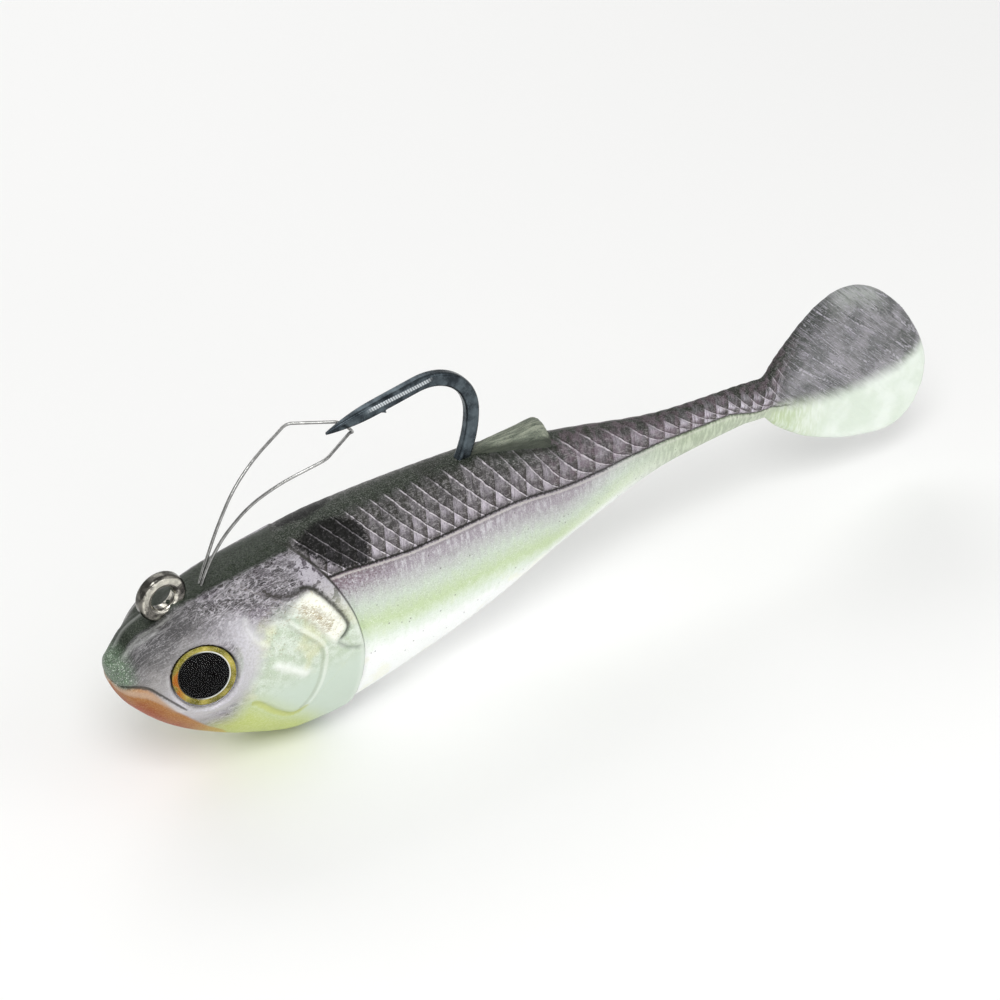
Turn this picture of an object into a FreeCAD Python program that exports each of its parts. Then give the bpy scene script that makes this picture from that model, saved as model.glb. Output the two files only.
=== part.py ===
import FreeCAD, Part
import math
import os

import Sketcher
from FreeCAD import Placement, Rotation, Vector

# A soft-plastic swimbait on a weighted single hook. Millimetres. The origin is the centre of the line-tie ring,
# the nose points to -X, the tail to +X, and +Z is up.

doc = FreeCAD.newDocument("swimbait")
sheet = doc.addObject("Spreadsheet::Sheet", "sizes")

SIZES = {
    # line-tie ring and its stem
    "ring_hole_radius": 1.6, "ring_wire": 1.65, "ring_corner": 0.525,
    "stem_x": 0.9, "stem_top": -2.4, "stem_length": 7.0,
    # hook: oval forged wire, bends from the shank round to the arm, then the ground point
    "hook_wire_height": 1.9, "hook_wire_width": 1.4, "hook_wire_corner": 0.45,
    "neck_length": 5.0, "neck_radius": 8.0, "neck_turn": 36.0,
    "shank_front_x": 16.0, "shank_rear_x": 36.5, "shank_z": -1.8,
    "low_bend_radius": 8.0, "low_bend_turn": 68.0, "mid_bend_radius": 16.0, "top_bend_radius": 7.1,
    "arm_slope": 9.0, "arm_length": 6.1, "point_length": 7.0, "point_shoulder": 4.0,
    "point_shoulder_size": 0.72, "point_tip_size": 0.16,
    "barb_length": 1.1, "barb_height": 0.55, "barb_width": 0.6, "barb_back": 1.4, "barb_root": 0.2,
    # lead weight
    "weight_x": 8.0, "weight_z": -11.5, "weight_half_length": 9.5, "weight_half_height": 7.5,
    "weight_half_width": 4.6, "collar_x": 14.0, "collar_length": 7.0, "collar_front": 1.2, "collar_rear": 1.9,
    "weight_neck_x": 9.0, "weight_neck_z": -6.0, "weight_neck_turn": 50.0, "weight_neck_length": 8.0,
    # weed guard
    "guard_wire_radius": 0.2, "guard_hinge_x": 5.8, "guard_hinge_z": 0.1,
    # eyes
    "eye_x": 1.65, "eye_y": 6.55, "eye_z": -8.55, "eye_radius": 4.1, "eye_disc_depth": 1.3,
    "eye_proud": 0.25, "eye_dome_height": 0.95, "eye_turn": 17.5, "eye_tilt": 10.4,
    # where the body flexes: hinge position, radius of the rounded end, clearance of the socket round it
    "rear_flex_x": 62.0, "rear_flex_radius": 4.7, "stem_flex_x": 77.0, "stem_flex_radius": 2.6,
    "tail_flex_x": 91.0, "tail_flex_radius": 1.7, "flex_gap": 0.3,
    # dorsal fin and paddle
    "fin_half_thickness": 1.1, "fin_edge": 0.4, "paddle_half_thickness": 0.9, "paddle_edge": 0.5,
    # body section: how far up its middle lies, and how square its lower half is
    "section_middle": 0.52, "section_belly_squareness": 1.95,
}

# Body stations: distance along the body, top, bottom, half width, and how square the top of the section is
# (2 is an ellipse).
STATIONS = [
    (-8.1, -6.4, -7.4, 0.4, 2.2),
    (-7.0, -6.2, -11.6, 2.7, 2.3),
    (-4.5, -4.1, -15.2, 4.2, 2.5),
    (-1.0, -2.9, -18.6, 6.1, 2.6),
    (3.0, -1.45, -21.4, 7.0, 2.5),
    (9.0, 0.4, -24.4, 8.3, 2.2),
    (16.0, 1.4, -26.5, 9.0, 2.1),
    (24.0, 2.6, -25.8, 8.7, 2.05),
    (34.0, 2.9, -23.8, 8.0, 2.0),
    (46.0, 2.7, -20.6, 6.7, 2.0),
    (60.0, -0.1, -15.4, 4.4, 1.9),
    (76.0, -3.5, -11.0, 2.3, 1.9),
    (91.4, -4.5, -10.1, 1.35, 1.9),
    (97.0, -6.2, -9.8, 1.0, 2.0),
    (102.0, -7.6, -8.8, 0.5, 2.0),
]
STATION_FIELDS = ("x", "top", "bottom", "half_width", "squareness")
for number, row in enumerate(STATIONS):
    for field, value in zip(STATION_FIELDS, row):
        SIZES[f"station_{number}_{field}"] = value

for line, (alias, value) in enumerate(SIZES.items(), start=1):
    sheet.set(f"A{line}", alias)
    sheet.set(f"B{line}", str(value))
    sheet.setAlias(f"B{line}", alias)
doc.recompute()

FAR = 200.0  # reaches past the object on every side
BEFORE_NOSE, BEHIND_TAIL = "-20", "150"
SECTION_POINTS = 24
LOFT_STEPS = 30
NOSE_CROWDING = 1.6  # sections stand closer together towards the nose
FOOT_BEND = 3.0
FLAT = 1e-6


def size(alias):
    return float(sheet.get(alias))


def bind(obj, **expressions):
    """Ties properties of an object to cells: prop="expression", with __ for a dot in the property's name."""
    for prop, expression in expressions.items():
        words = expression.split(" ")
        bound = " ".join("sizes." + w if w in SIZES else w for w in words)
        obj.setExpression(prop.replace("__", "."), bound)


def add(kind, name, **expressions):
    obj = doc.addObject(kind, name)
    bind(obj, **expressions)
    return obj


def solid_feature(name, shape):
    obj = doc.addObject("Part::Feature", name)
    obj.Shape = shape
    return obj


def fuse(name, *shapes):
    obj = doc.addObject("Part::MultiFuse", name)
    obj.Shapes = list(shapes)
    obj.Refine = False
    return obj


def common(name, *shapes):
    obj = doc.addObject("Part::MultiCommon", name)
    obj.Shapes = list(shapes)
    obj.Refine = False
    return obj


def cut(name, base, tool):
    obj = doc.addObject("Part::Cut", name)
    obj.Base, obj.Tool = base, tool
    obj.Refine = False
    return obj


def plane(body, role):
    return next(f for f in body.Origin.OriginFeatures if f.Role == role)


def sketch_on(body, role, name, offset=None):
    sketch = body.newObject("Sketcher::SketchObject", name)
    sketch.AttachmentSupport = [(plane(body, role), "")]
    sketch.MapMode = "FlatFace"
    if offset is not None:
        sketch.AttachmentOffset = offset
    return sketch


def constrain(sketch, name, expression, *constraint):
    index = sketch.addConstraint(Sketcher.Constraint(*constraint))
    sketch.renameConstraint(index, name)
    bind(sketch, **{f"Constraints__{name}": expression})


def rounded_rectangle(sketch, width, height, corner):
    """Centred on the sketch's origin."""
    x, y = width / 2, height / 2
    inner_x, inner_y = x - corner, y - corner
    quarter = math.pi / 2
    z = Vector(0, 0, 1)
    corners = [(inner_x, inner_y), (-inner_x, inner_y), (-inner_x, -inner_y), (inner_x, -inner_y)]
    sides = [
        ((inner_x, y), (-inner_x, y)), ((-x, inner_y), (-x, -inner_y)),
        ((-inner_x, -y), (inner_x, -y)), ((x, -inner_y), (x, inner_y)),
    ]
    for turn, ((cx, cy), (start, end)) in enumerate(zip(corners, sides)):
        circle = Part.Circle(Vector(cx, cy, 0), z, corner)
        sketch.addGeometry(Part.ArcOfCircle(circle, turn * quarter, (turn + 1) * quarter))
        sketch.addGeometry(Part.LineSegment(Vector(*start, 0), Vector(*end, 0)))


# ---------------------------------------------------------------- soft body form


def monotone(xs, ys, x):
    """Smooth curve through the points that never overshoots them."""
    steps = [(ys[i + 1] - ys[i]) / (xs[i + 1] - xs[i]) for i in range(len(xs) - 1)]
    slopes = [steps[0]]
    for a, b in zip(steps, steps[1:]):
        slopes.append(0.0 if a * b <= 0 else 2 * a * b / (a + b))
    slopes.append(steps[-1])
    i = max(k for k in range(len(steps)) if k == 0 or xs[k] <= x)
    span = xs[i + 1] - xs[i]
    s = (x - xs[i]) / span
    return (ys[i] * (1 + 2 * s) * (1 - s) ** 2 + ys[i + 1] * s * s * (3 - 2 * s)
            + span * (slopes[i] * s * (1 - s) ** 2 - slopes[i + 1] * s * s * (1 - s)))


def section(x):
    """Closed curve across the body at x: a squarish top half over an oval bottom half."""
    xs = [size(f"station_{n}_x") for n in range(len(STATIONS))]
    top, bottom, half, square = (
        monotone(xs, [size(f"station_{n}_{field}") for n in range(len(STATIONS))], x)
        for field in STATION_FIELDS[1:]
    )
    middle = bottom + size("section_middle") * (top - bottom)
    points = []
    for k in range(SECTION_POINTS):
        angle = 2 * math.pi * (k + 0.5) / SECTION_POINTS
        c, s = math.cos(angle), math.sin(angle)
        power = 2 / (square if s > 0 else size("section_belly_squareness"))
        reach = top - middle if s > 0 else middle - bottom
        y = math.copysign(abs(c) ** power, c) * half
        z = middle + math.copysign(abs(s) ** power, s) * reach
        points.append(Vector(x, y, z))
    curve = Part.BSplineCurve()
    # the same knots on every section keep the loft light
    even = [k / SECTION_POINTS for k in range(SECTION_POINTS + 1)]
    curve.interpolate(Points=points, Parameters=even, PeriodicFlag=True)
    return Part.Wire([curve.toShape()])


def make_body_form():
    first, last = STATIONS[0][0], STATIONS[-1][0]
    places = [first + (last - first) * (k / LOFT_STEPS) ** NOSE_CROWDING for k in range(LOFT_STEPS + 1)]
    return solid_feature("body_form", Part.makeLoft([section(x) for x in places], True, False))


body_form = make_body_form()

# ---------------------------------------------------------------- line tie


def make_line_tie():
    """A closed wire ring in the middle plane with a stem that is cast into the weight."""
    body = doc.addObject("PartDesign::Body", "line_tie")
    profile = sketch_on(body, "XY_Plane", "ring_section")
    wire = size("ring_wire")
    rounded_rectangle(profile, wire, wire, size("ring_corner"))
    profile.AttachmentOffset = Placement(Vector(size("ring_hole_radius") + wire / 2, 0, 0), Rotation())
    bind(profile, AttachmentOffset__Base__x="ring_hole_radius + ring_wire / 2")
    ring = body.newObject("PartDesign::Revolution", "ring")
    ring.Profile = profile
    ring.ReferenceAxis = (plane(body, "Y_Axis"), [""])
    ring.Angle = 360
    stem_sketch = sketch_on(body, "XY_Plane", "stem_section")
    stem_sketch.addGeometry(Part.Circle(Vector(size("stem_x"), 0, 0), Vector(0, 0, 1), wire / 2))
    constrain(stem_sketch, "stem_radius", "ring_wire / 2", "Radius", 0, wire / 2)
    bind(stem_sketch, AttachmentOffset__Base__z="stem_top")
    stem = body.newObject("PartDesign::Pad", "stem")
    stem.Profile = stem_sketch
    stem.Reversed = True
    bind(stem, Length="stem_length")
    return body


line_tie = make_line_tie()

# ---------------------------------------------------------------- hook


def turned(point, heading, radius, turn):
    """End of an arc that starts at point on a heading and turns left by turn degrees, with its centre."""
    a = math.radians(heading)
    centre = (point[0] - radius * math.sin(a), point[1] + radius * math.cos(a))
    b = math.radians(heading + turn)
    return (centre[0] + radius * math.sin(b), centre[1] - radius * math.cos(b)), centre


def ahead(point, heading, length):
    a = math.radians(heading)
    return (point[0] + length * math.cos(a), point[1] + length * math.sin(a))


def add_left_arc(sketch, centre, radius, heading, turn):
    circle = Part.Circle(Vector(*centre, 0), Vector(0, 0, 1), radius)
    start = math.radians(heading - 90)
    return sketch.addGeometry(Part.ArcOfCircle(circle, start, start + math.radians(turn)))


def make_hook():
    """Path from the cast-in end of the shank, back along the body, up through the back and forward to the point."""
    body = doc.addObject("PartDesign::Body", "hook")
    path = sketch_on(body, "XZ_Plane", "hook_path")
    shank_z = size("shank_z")
    neck_turn, neck_radius = size("neck_turn"), size("neck_radius")
    front = (size("shank_front_x"), shank_z)
    back = (size("shank_rear_x"), shank_z)
    # the neck drops forward from the shank into the weight, so it is an arc that turns right
    a = math.radians(neck_turn)
    neck_centre = (front[0], front[1] - neck_radius)
    neck_end = (front[0] - neck_radius * math.sin(a), neck_centre[1] + neck_radius * math.cos(a))
    start = ahead(neck_end, neck_turn + 180, size("neck_length"))
    neck_circle = Part.Circle(Vector(*neck_centre, 0), Vector(0, 0, 1), neck_radius)
    line = path.addGeometry(Part.LineSegment(Vector(*start, 0), Vector(*neck_end, 0)))
    neck = path.addGeometry(Part.ArcOfCircle(neck_circle, math.pi / 2, math.pi / 2 + a))
    shank = path.addGeometry(Part.LineSegment(Vector(*front, 0), Vector(*back, 0)))
    low_turn = size("low_bend_turn")
    low_end, low_centre = turned(back, 0, size("low_bend_radius"), low_turn)
    low = add_left_arc(path, low_centre, size("low_bend_radius"), 0, low_turn)
    mid_end, mid_centre = turned(low_end, low_turn, size("mid_bend_radius"), 90 - low_turn)
    mid = add_left_arc(path, mid_centre, size("mid_bend_radius"), low_turn, 90 - low_turn)
    top_turn = 90 + size("arm_slope")
    top_end, top_centre = turned(mid_end, 90, size("top_bend_radius"), top_turn)
    top = add_left_arc(path, top_centre, size("top_bend_radius"), 90, top_turn)
    arm_heading = 90 + top_turn
    arm_end = ahead(top_end, arm_heading, size("arm_length"))
    arm = path.addGeometry(Part.LineSegment(Vector(*top_end, 0), Vector(*arm_end, 0)))
    # end to end and tangent, with the radii tied to their cells
    for pair in ((line, 2, neck, 2), (neck, 1, shank, 1), (shank, 2, low, 1), (low, 2, mid, 1), (mid, 2, top, 1),
                 (top, 2, arm, 1)):
        path.addConstraint(Sketcher.Constraint("Tangent", *pair))
    path.addConstraint(Sketcher.Constraint("Horizontal", shank))
    path.addConstraint(Sketcher.Constraint("Horizontal", top, 3, top, 1))
    constrain(path, "neck_radius", "neck_radius", "Radius", neck, neck_radius)
    constrain(path, "low_radius", "low_bend_radius", "Radius", low, size("low_bend_radius"))
    constrain(path, "mid_radius", "mid_bend_radius", "Radius", mid, size("mid_bend_radius"))
    constrain(path, "top_radius", "top_bend_radius", "Radius", top, size("top_bend_radius"))
    constrain(path, "shank_back", "shank_rear_x", "DistanceX", -1, 1, shank, 2, back[0])

    def across(name, place, heading):
        """A sketch square to the path at a place on it, its own y in the hook's plane."""
        turn = Rotation(Vector(1, 0, 0), -heading)
        offset = Placement(Vector(0, place[1], place[0]), turn)
        return sketch_on(body, "YZ_Plane", name, offset)

    full = (size("hook_wire_width"), size("hook_wire_height"), size("hook_wire_corner"))
    profile = across("wire_section", start, neck_turn)
    rounded_rectangle(profile, *full)
    wire = body.newObject("PartDesign::AdditivePipe", "wire")
    wire.Profile = profile
    wire.Spine = (path, [""])
    length = size("point_length")
    sections = []
    for name, done, scale in (("point_base", 0.0, 1.0),
                              ("point_shoulder", size("point_shoulder"), size("point_shoulder_size")),
                              ("point_tip", length, size("point_tip_size"))):
        sketch = across(name, ahead(arm_end, arm_heading, done), arm_heading - 180)
        rounded_rectangle(sketch, *(scale * v for v in full))
        sections.append(sketch)
    point = body.newObject("PartDesign::AdditiveLoft", "point")
    point.Profile = sections[0]
    point.Sections = sections[1:]
    # micro barb on the underside of the arm
    barb_root = ahead(arm_end, arm_heading, -size("barb_back"))
    under = size("hook_wire_height") / 2
    inside, tip = under - size("barb_root"), under + size("barb_height")
    corners = []
    for reach, drop in ((size("barb_length"), inside), (0.0, inside), (0.0, tip)):
        corners.append(Vector(*ahead(ahead(barb_root, arm_heading, reach), arm_heading + 90, drop), 0))
    barb_sketch = sketch_on(body, "XZ_Plane", "barb_outline")
    for a_corner, b_corner in zip(corners, corners[1:] + corners[:1]):
        barb_sketch.addGeometry(Part.LineSegment(a_corner, b_corner))
    barb = body.newObject("PartDesign::Pad", "barb")
    barb.Profile = barb_sketch
    barb.SideType = "Symmetric"
    bind(barb, Length="barb_width")
    return body


hook = make_hook()

# ---------------------------------------------------------------- weed guard


def rounded_path(points, radii):
    """Straight runs through the points, joined by tangent arcs of the given radii."""
    edges = []
    last = points[0]
    for before, corner, after, radius in zip(points, points[1:], points[2:], radii):
        into = (corner - before).normalize()
        out = (after - corner).normalize()
        turn = into.getAngle(out)
        trim = radius * math.tan(turn / 2)
        start, end = corner - into * trim, corner + out * trim
        inward = (out - into).normalize()
        centre = corner + inward * (radius / math.cos(turn / 2))
        middle = centre - inward * radius
        edges.append(Part.LineSegment(last, start).toShape())
        edges.append(Part.Arc(start, middle, end).toShape())
        last = end
    edges.append(Part.LineSegment(last, points[-1]).toShape())
    return Part.Wire(edges)


def wire_tube(path, radius):
    start = path.Edges[0]
    centre = start.valueAt(start.FirstParameter)
    normal = start.tangentAt(start.FirstParameter)
    ring = Part.Wire([Part.Circle(centre, normal, radius).toShape()])
    return path.makePipeShell([ring], True, False)


# One leg of the guard, from just above the head to its tip under the hook's point. The other leg is its mirror.
GUARD_LEG = [
    Vector(5.85, 0.28, 0.2), Vector(6.9, 0.4, 2.7), Vector(8.6, 0.85, 5.8), Vector(11.6, 1.85, 9.6),
    Vector(15.4, 3.0, 12.1), Vector(21.1, 4.5, 14.2), Vector(26.5, 1.35, 14.1), Vector(27.4, 0.65, 13.4),
]
GUARD_RADII = [4.0, 8.0, 8.0, 8.0, 0.9, 0.8, 0.5]
GUARD_FOOT = [Vector(5.7, 0.28, -0.2), Vector(4.9, 0.28, -2.6), Vector(4.2, 0.28, -7.0)]


def mirrored(points):
    return [Vector(p.x, -p.y, p.z) for p in points]


def make_weed_guard():
    points = GUARD_LEG + mirrored(GUARD_LEG)[::-1]
    radii = GUARD_RADII + GUARD_RADII[::-1]
    return solid_feature("weed_guard", wire_tube(rounded_path(points, radii), size("guard_wire_radius")))


def make_weed_guard_root():
    """The two wire ends that stand in the weight and come out through the top of the head."""
    radius = size("guard_wire_radius")
    tubes = [wire_tube(rounded_path(p, [FOOT_BEND]), radius) for p in (GUARD_FOOT, mirrored(GUARD_FOOT))]
    return solid_feature("weed_guard_root", Part.makeCompound(tubes))


weed_guard = make_weed_guard()
weed_guard_root = make_weed_guard_root()

# ---------------------------------------------------------------- head weight


def make_head_weight():
    """An egg of lead with a barbed collar along the shank, cast round the hook, the stem and the guard's feet."""
    egg = add("Part::Ellipsoid", "weight_egg", Radius1="weight_half_height", Radius2="weight_half_length",
              Radius3="weight_half_width", Placement__Base__x="weight_x", Placement__Base__z="weight_z")
    egg.Angle1, egg.Angle2, egg.Angle3 = -90, 90, 360
    collar = add("Part::Cone", "weight_collar", Radius1="collar_front", Radius2="collar_rear", Height="collar_length")
    collar.Placement = Placement(Vector(size("collar_x"), 0, size("shank_z")), Rotation(Vector(0, 1, 0), 90))
    neck = add("Part::Cone", "weight_neck", Radius1="collar_rear", Radius2="collar_front", Height="weight_neck_length")
    neck.Placement = Placement(Vector(size("weight_neck_x"), 0, size("weight_neck_z")),
                               Rotation(Vector(0, 1, 0), size("weight_neck_turn")))
    lead = fuse("weight_lead", egg, collar, neck)
    return cut("head_weight", lead, fuse("weight_cast_in", hook, line_tie, weed_guard_root))


head_weight = make_head_weight()

# ---------------------------------------------------------------- eyes


def make_eye_disc(side):
    """Foil-printed disc that sits in a socket in the head."""
    body = doc.addObject("PartDesign::Body", f"{side}_eye_disc")
    sketch = sketch_on(body, "XY_Plane", f"{side}_disc_outline")
    sketch.addGeometry(Part.Circle(Vector(), Vector(0, 0, 1), size("eye_radius")))
    constrain(sketch, "disc_radius", "eye_radius", "Radius", 0, size("eye_radius"))
    pad = body.newObject("PartDesign::Pad", f"{side}_disc")
    pad.Profile = sketch
    pad.Reversed = True
    bind(pad, Length="eye_disc_depth")
    return body


def make_eye_dome(side):
    """Clear cap over the disc: a slice of a ball, turned about the eye's axis."""
    body = doc.addObject("PartDesign::Body", f"{side}_eye_dome")
    sketch = sketch_on(body, "XZ_Plane", f"{side}_dome_profile")
    radius, height = size("eye_radius"), size("eye_dome_height")
    ball = (radius ** 2 + height ** 2) / (2 * height)
    circle = Part.Circle(Vector(0, height - ball, 0), Vector(0, 0, 1), ball)
    rim = math.acos(radius / ball)
    sketch.addGeometry(Part.LineSegment(Vector(0, 0, 0), Vector(radius, 0, 0)))
    sketch.addGeometry(Part.ArcOfCircle(circle, rim, math.pi / 2))
    sketch.addGeometry(Part.LineSegment(Vector(0, height, 0), Vector(0, 0, 0)))
    turn = body.newObject("PartDesign::Revolution", f"{side}_dome")
    turn.Profile = sketch
    turn.ReferenceAxis = (plane(body, "Z_Axis"), [""])
    turn.Angle = 360
    return body


def eye_place(side):
    """The eye looks out to its own side, a little forward and a little up."""
    sign = -1 if side == "left" else 1
    yaw, tilt = math.radians(size("eye_turn")), math.radians(size("eye_tilt"))
    look = Vector(-math.sin(yaw) * math.cos(tilt), sign * math.cos(yaw) * math.cos(tilt), math.sin(tilt))
    centre = Vector(size("eye_x"), sign * size("eye_y"), size("eye_z"))
    return Placement(centre + look * size("eye_proud"), Rotation(Vector(0, 0, 1), look))


eyes = []
for side in ("left", "right"):
    for make in (make_eye_disc, make_eye_dome):
        eye_piece = make(side)
        eye_piece.Placement = eye_place(side)
        eyes.append(eye_piece)

# ---------------------------------------------------------------- fin and paddle outlines


def plate(outline, half_thickness):
    """A plate of even thickness in the middle plane, from the outline of its near side."""
    return Part.Face(outline).extrude(Vector(0, 2 * half_thickness, 0))


PADDLE = [
    (90.6, -5.2), (95.0, -0.2), (98.8, 3.2), (102.7, 5.0), (106.8, 4.1), (111.0, 1.5), (115.0, -2.8),
    (117.6, -7.4), (118.8, -12.4), (118.2, -16.6), (115.6, -19.8), (112.0, -21.0), (106.0, -19.6),
    (100.0, -17.3), (95.0, -14.6), (90.6, -9.4),
]
# A long low ridge with a blunt rear end: corners, and the bend radius at each but the first and last.
FIN = [(44.6, -1.5), (44.9, 1.7), (47.2, 3.1), (54.7, 3.8), (56.8, 0.6), (56.2, -2.5)]
FIN_RADII = [0.6, 2.5, 0.8, 0.8]


def make_paddle_form():
    """A smooth closed curve through the points, with a rounded rim."""
    half = size("paddle_half_thickness")
    curve = Part.BSplineCurve()
    curve.interpolate([Vector(x, -half, z) for x, z in PADDLE], PeriodicFlag=True)
    blank = plate(Part.Wire([curve.toShape()]), half)
    return solid_feature("paddle_form", blank.makeFillet(size("paddle_edge"), blank.Edges[1:]))


def make_fin_form():
    half = size("fin_half_thickness")
    corners = [Vector(x, -half, z) for x, z in FIN]
    ridge = rounded_path(corners, FIN_RADII)
    base = Part.LineSegment(corners[-1], corners[0]).toShape()
    blank = plate(Part.Wire([*ridge.Edges, base]), half)
    rim = [e for e in blank.Edges if abs(abs(e.CenterOfMass.y) - half) < FLAT and e.CenterOfMass.z > 0]
    return solid_feature("fin_form", blank.makeFillet(size("fin_edge"), rim))


paddle_form = make_paddle_form()
fin_form = make_fin_form()

# ---------------------------------------------------------------- soft body segments

# The pour line between the dark back and the pale belly, which is also the lateral line on the flanks.
POUR_LINE = [
    (-12.0, -7.3), (-8.1, -6.8), (0.0, -4.6), (10.0, -2.8), (19.6, -1.4), (34.0, -1.6), (48.0, -2.8),
    (62.0, -4.6), (77.0, -6.8), (91.4, -8.4), (102.0, -9.6), (111.0, -8.4), (122.0, -5.5),
]


def make_upper_half():
    """Everything above the pour line."""
    curve = Part.BSplineCurve()
    curve.interpolate([Vector(x, -FAR, z) for x, z in POUR_LINE])
    left, right = (Vector(x, -FAR, FAR) for x in (POUR_LINE[0][0], POUR_LINE[-1][0]))
    low_left, low_right = (Vector(x, -FAR, z) for x, z in (POUR_LINE[0], POUR_LINE[-1]))
    edges = [curve.toShape(), Part.LineSegment(low_right, right).toShape(),
             Part.LineSegment(right, left).toShape(), Part.LineSegment(left, low_left).toShape()]
    return solid_feature("upper_half", Part.Face(Part.Wire(edges)).extrude(Vector(0, 2 * FAR, 0)))


upper_half = make_upper_half()


def slab(name, start, end):
    """All of space between two places along the body."""
    box = doc.addObject("Part::Box", name)
    bind(box, Placement__Base__x=start, Length=f"{end} - ( {start} )")
    box.Width = box.Height = 2 * FAR
    box.Placement.Base = Vector(box.Placement.Base.x, -FAR, -FAR)
    return box


def upright(name, place, radius):
    cylinder = add("Part::Cylinder", name, Radius=radius, Placement__Base__x=place)
    cylinder.Height = 2 * FAR
    cylinder.Placement.Base = Vector(cylinder.Placement.Base.x, 0, -FAR)
    return cylinder


def region(name, start, end):
    """From one flex to the next: rounded at the front end, with a socket for the next segment behind."""
    space = slab(f"{name}_slab", f"{start}_x" if start else BEFORE_NOSE, f"{end}_x" if end else BEHIND_TAIL)
    if start:
        space = fuse(f"{name}_space", space, upright(f"{name}_round", f"{start}_x", f"{start}_radius"))
    if end:
        socket = upright(f"{name}_socket", f"{end}_x", f"{end}_radius + flex_gap")
        space = cut(f"{name}_region", space, socket)
    return space


def hollowed(name, form):
    """The form with a bed for each piece that is cast in or set in, cut one after another."""
    for piece in (head_weight, hook, line_tie, weed_guard_root, *eyes):
        form = cut(f"{name}_bed_of_{piece.Name}", form, piece)
    form.Label = name
    return form


front_form = fuse("front_form", body_form, fin_form)
tail_form = fuse("tail_form", body_form, paddle_form)
SEGMENTS = [
    ("front", front_form, None, "rear_flex"),
    ("rear", body_form, "rear_flex", "stem_flex"),
    ("stem", body_form, "stem_flex", "tail_flex"),
    ("paddle", tail_form, "tail_flex", None),
]
soft = []
for name, form, start, end in SEGMENTS:
    whole = common(f"{name}_whole", form, region(name, start, end))
    if name == "front":
        soft.append(hollowed("front_back", common("front_back_form", whole, upper_half)))
        soft.append(hollowed("front_belly", cut("front_belly_form", whole, upper_half)))
    else:
        soft.append(common(f"{name}_back", whole, upper_half))
        soft.append(cut(f"{name}_belly", whole, upper_half))

# ---------------------------------------------------------------- check and write

doc.recompute()
nodes = [hook, line_tie, head_weight, weed_guard, weed_guard_root, *eyes, *soft]
for obj in doc.Objects:
    if "Invalid" in obj.State or "Error" in obj.State:
        raise RuntimeError(f"{obj.Name} did not compute: {obj.State}")
os.makedirs("parts", exist_ok=True)
for node in nodes:
    shape = node.Shape
    if shape.isNull() or not shape.isValid():
        raise RuntimeError(f"{node.Label} has no valid shape")
    shape.exportStep(f"parts/{node.Label}.step")
    box = shape.BoundBox
    print(f"{node.Label:18s} solids {len(shape.Solids)} volume {shape.Volume:9.2f} "
          f"x {box.XMin:7.2f} {box.XMax:7.2f} y {box.YMin:6.2f} {box.YMax:6.2f} z {box.ZMin:7.2f} {box.ZMax:6.2f}")
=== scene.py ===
"""Looks of a soft-plastic swimbait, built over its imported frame. Lengths are in millimetres until a mesh is made.

The body is described by two distances: x along it, and v down its flank from the crest of the back.
"""

import math

import bpy
import numpy as np
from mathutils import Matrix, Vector


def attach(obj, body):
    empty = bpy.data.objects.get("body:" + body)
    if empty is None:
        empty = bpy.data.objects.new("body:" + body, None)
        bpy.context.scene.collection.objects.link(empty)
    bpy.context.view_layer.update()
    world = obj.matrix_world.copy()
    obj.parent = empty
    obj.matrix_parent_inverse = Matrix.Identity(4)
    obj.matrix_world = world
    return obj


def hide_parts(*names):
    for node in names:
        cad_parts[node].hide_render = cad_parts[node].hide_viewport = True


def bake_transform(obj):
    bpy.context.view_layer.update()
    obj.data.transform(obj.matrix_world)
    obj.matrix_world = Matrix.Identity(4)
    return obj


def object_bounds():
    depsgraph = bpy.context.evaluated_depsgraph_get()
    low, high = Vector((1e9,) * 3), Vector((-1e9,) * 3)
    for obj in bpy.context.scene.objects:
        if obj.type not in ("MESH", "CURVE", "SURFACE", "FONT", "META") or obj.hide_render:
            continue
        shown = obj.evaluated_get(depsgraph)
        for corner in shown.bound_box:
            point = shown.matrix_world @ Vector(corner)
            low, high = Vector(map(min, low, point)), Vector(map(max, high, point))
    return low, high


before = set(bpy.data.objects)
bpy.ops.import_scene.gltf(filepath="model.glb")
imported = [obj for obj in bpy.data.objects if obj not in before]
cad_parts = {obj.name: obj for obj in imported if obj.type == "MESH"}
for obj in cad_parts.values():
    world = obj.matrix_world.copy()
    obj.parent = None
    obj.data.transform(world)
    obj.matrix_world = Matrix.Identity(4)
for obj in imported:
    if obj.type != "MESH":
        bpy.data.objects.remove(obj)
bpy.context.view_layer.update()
MM = 0.001
FAR, TINY = 1e9, 1e-9

# ---------------------------------------------------------------- small maths


def smooth(low, high, value):
    """0 at low, 1 at high, with soft ends."""
    t = np.clip((value - low) / (high - low), 0, 1)
    return t * t * (3 - 2 * t)


def bell(value, width):
    return np.exp(-((value / width) ** 2))


def monotone(xs, ys, x):
    """Smooth curve through the points that never overshoots them."""
    steps = np.diff(ys) / np.diff(xs)
    a, b = steps[:-1], steps[1:]
    inner = np.where(a * b > 0, 2 * a * b / np.where(a + b == 0, 1, a + b), 0)
    slopes = np.concatenate([steps[:1], inner, steps[-1:]])
    i = np.clip(np.searchsorted(xs, x, side="right") - 1, 0, len(steps) - 1)
    span = xs[i + 1] - xs[i]
    s = (x - xs[i]) / span
    return (ys[i] * (1 + 2 * s) * (1 - s) ** 2 + ys[i + 1] * s * s * (3 - 2 * s)
            + span * (slopes[i] * s * (1 - s) ** 2 - slopes[i + 1] * s * s * (1 - s)))


def through(points, x):
    table = np.array(points, float)
    return monotone(table[:, 0], table[:, 1], x)


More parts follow.
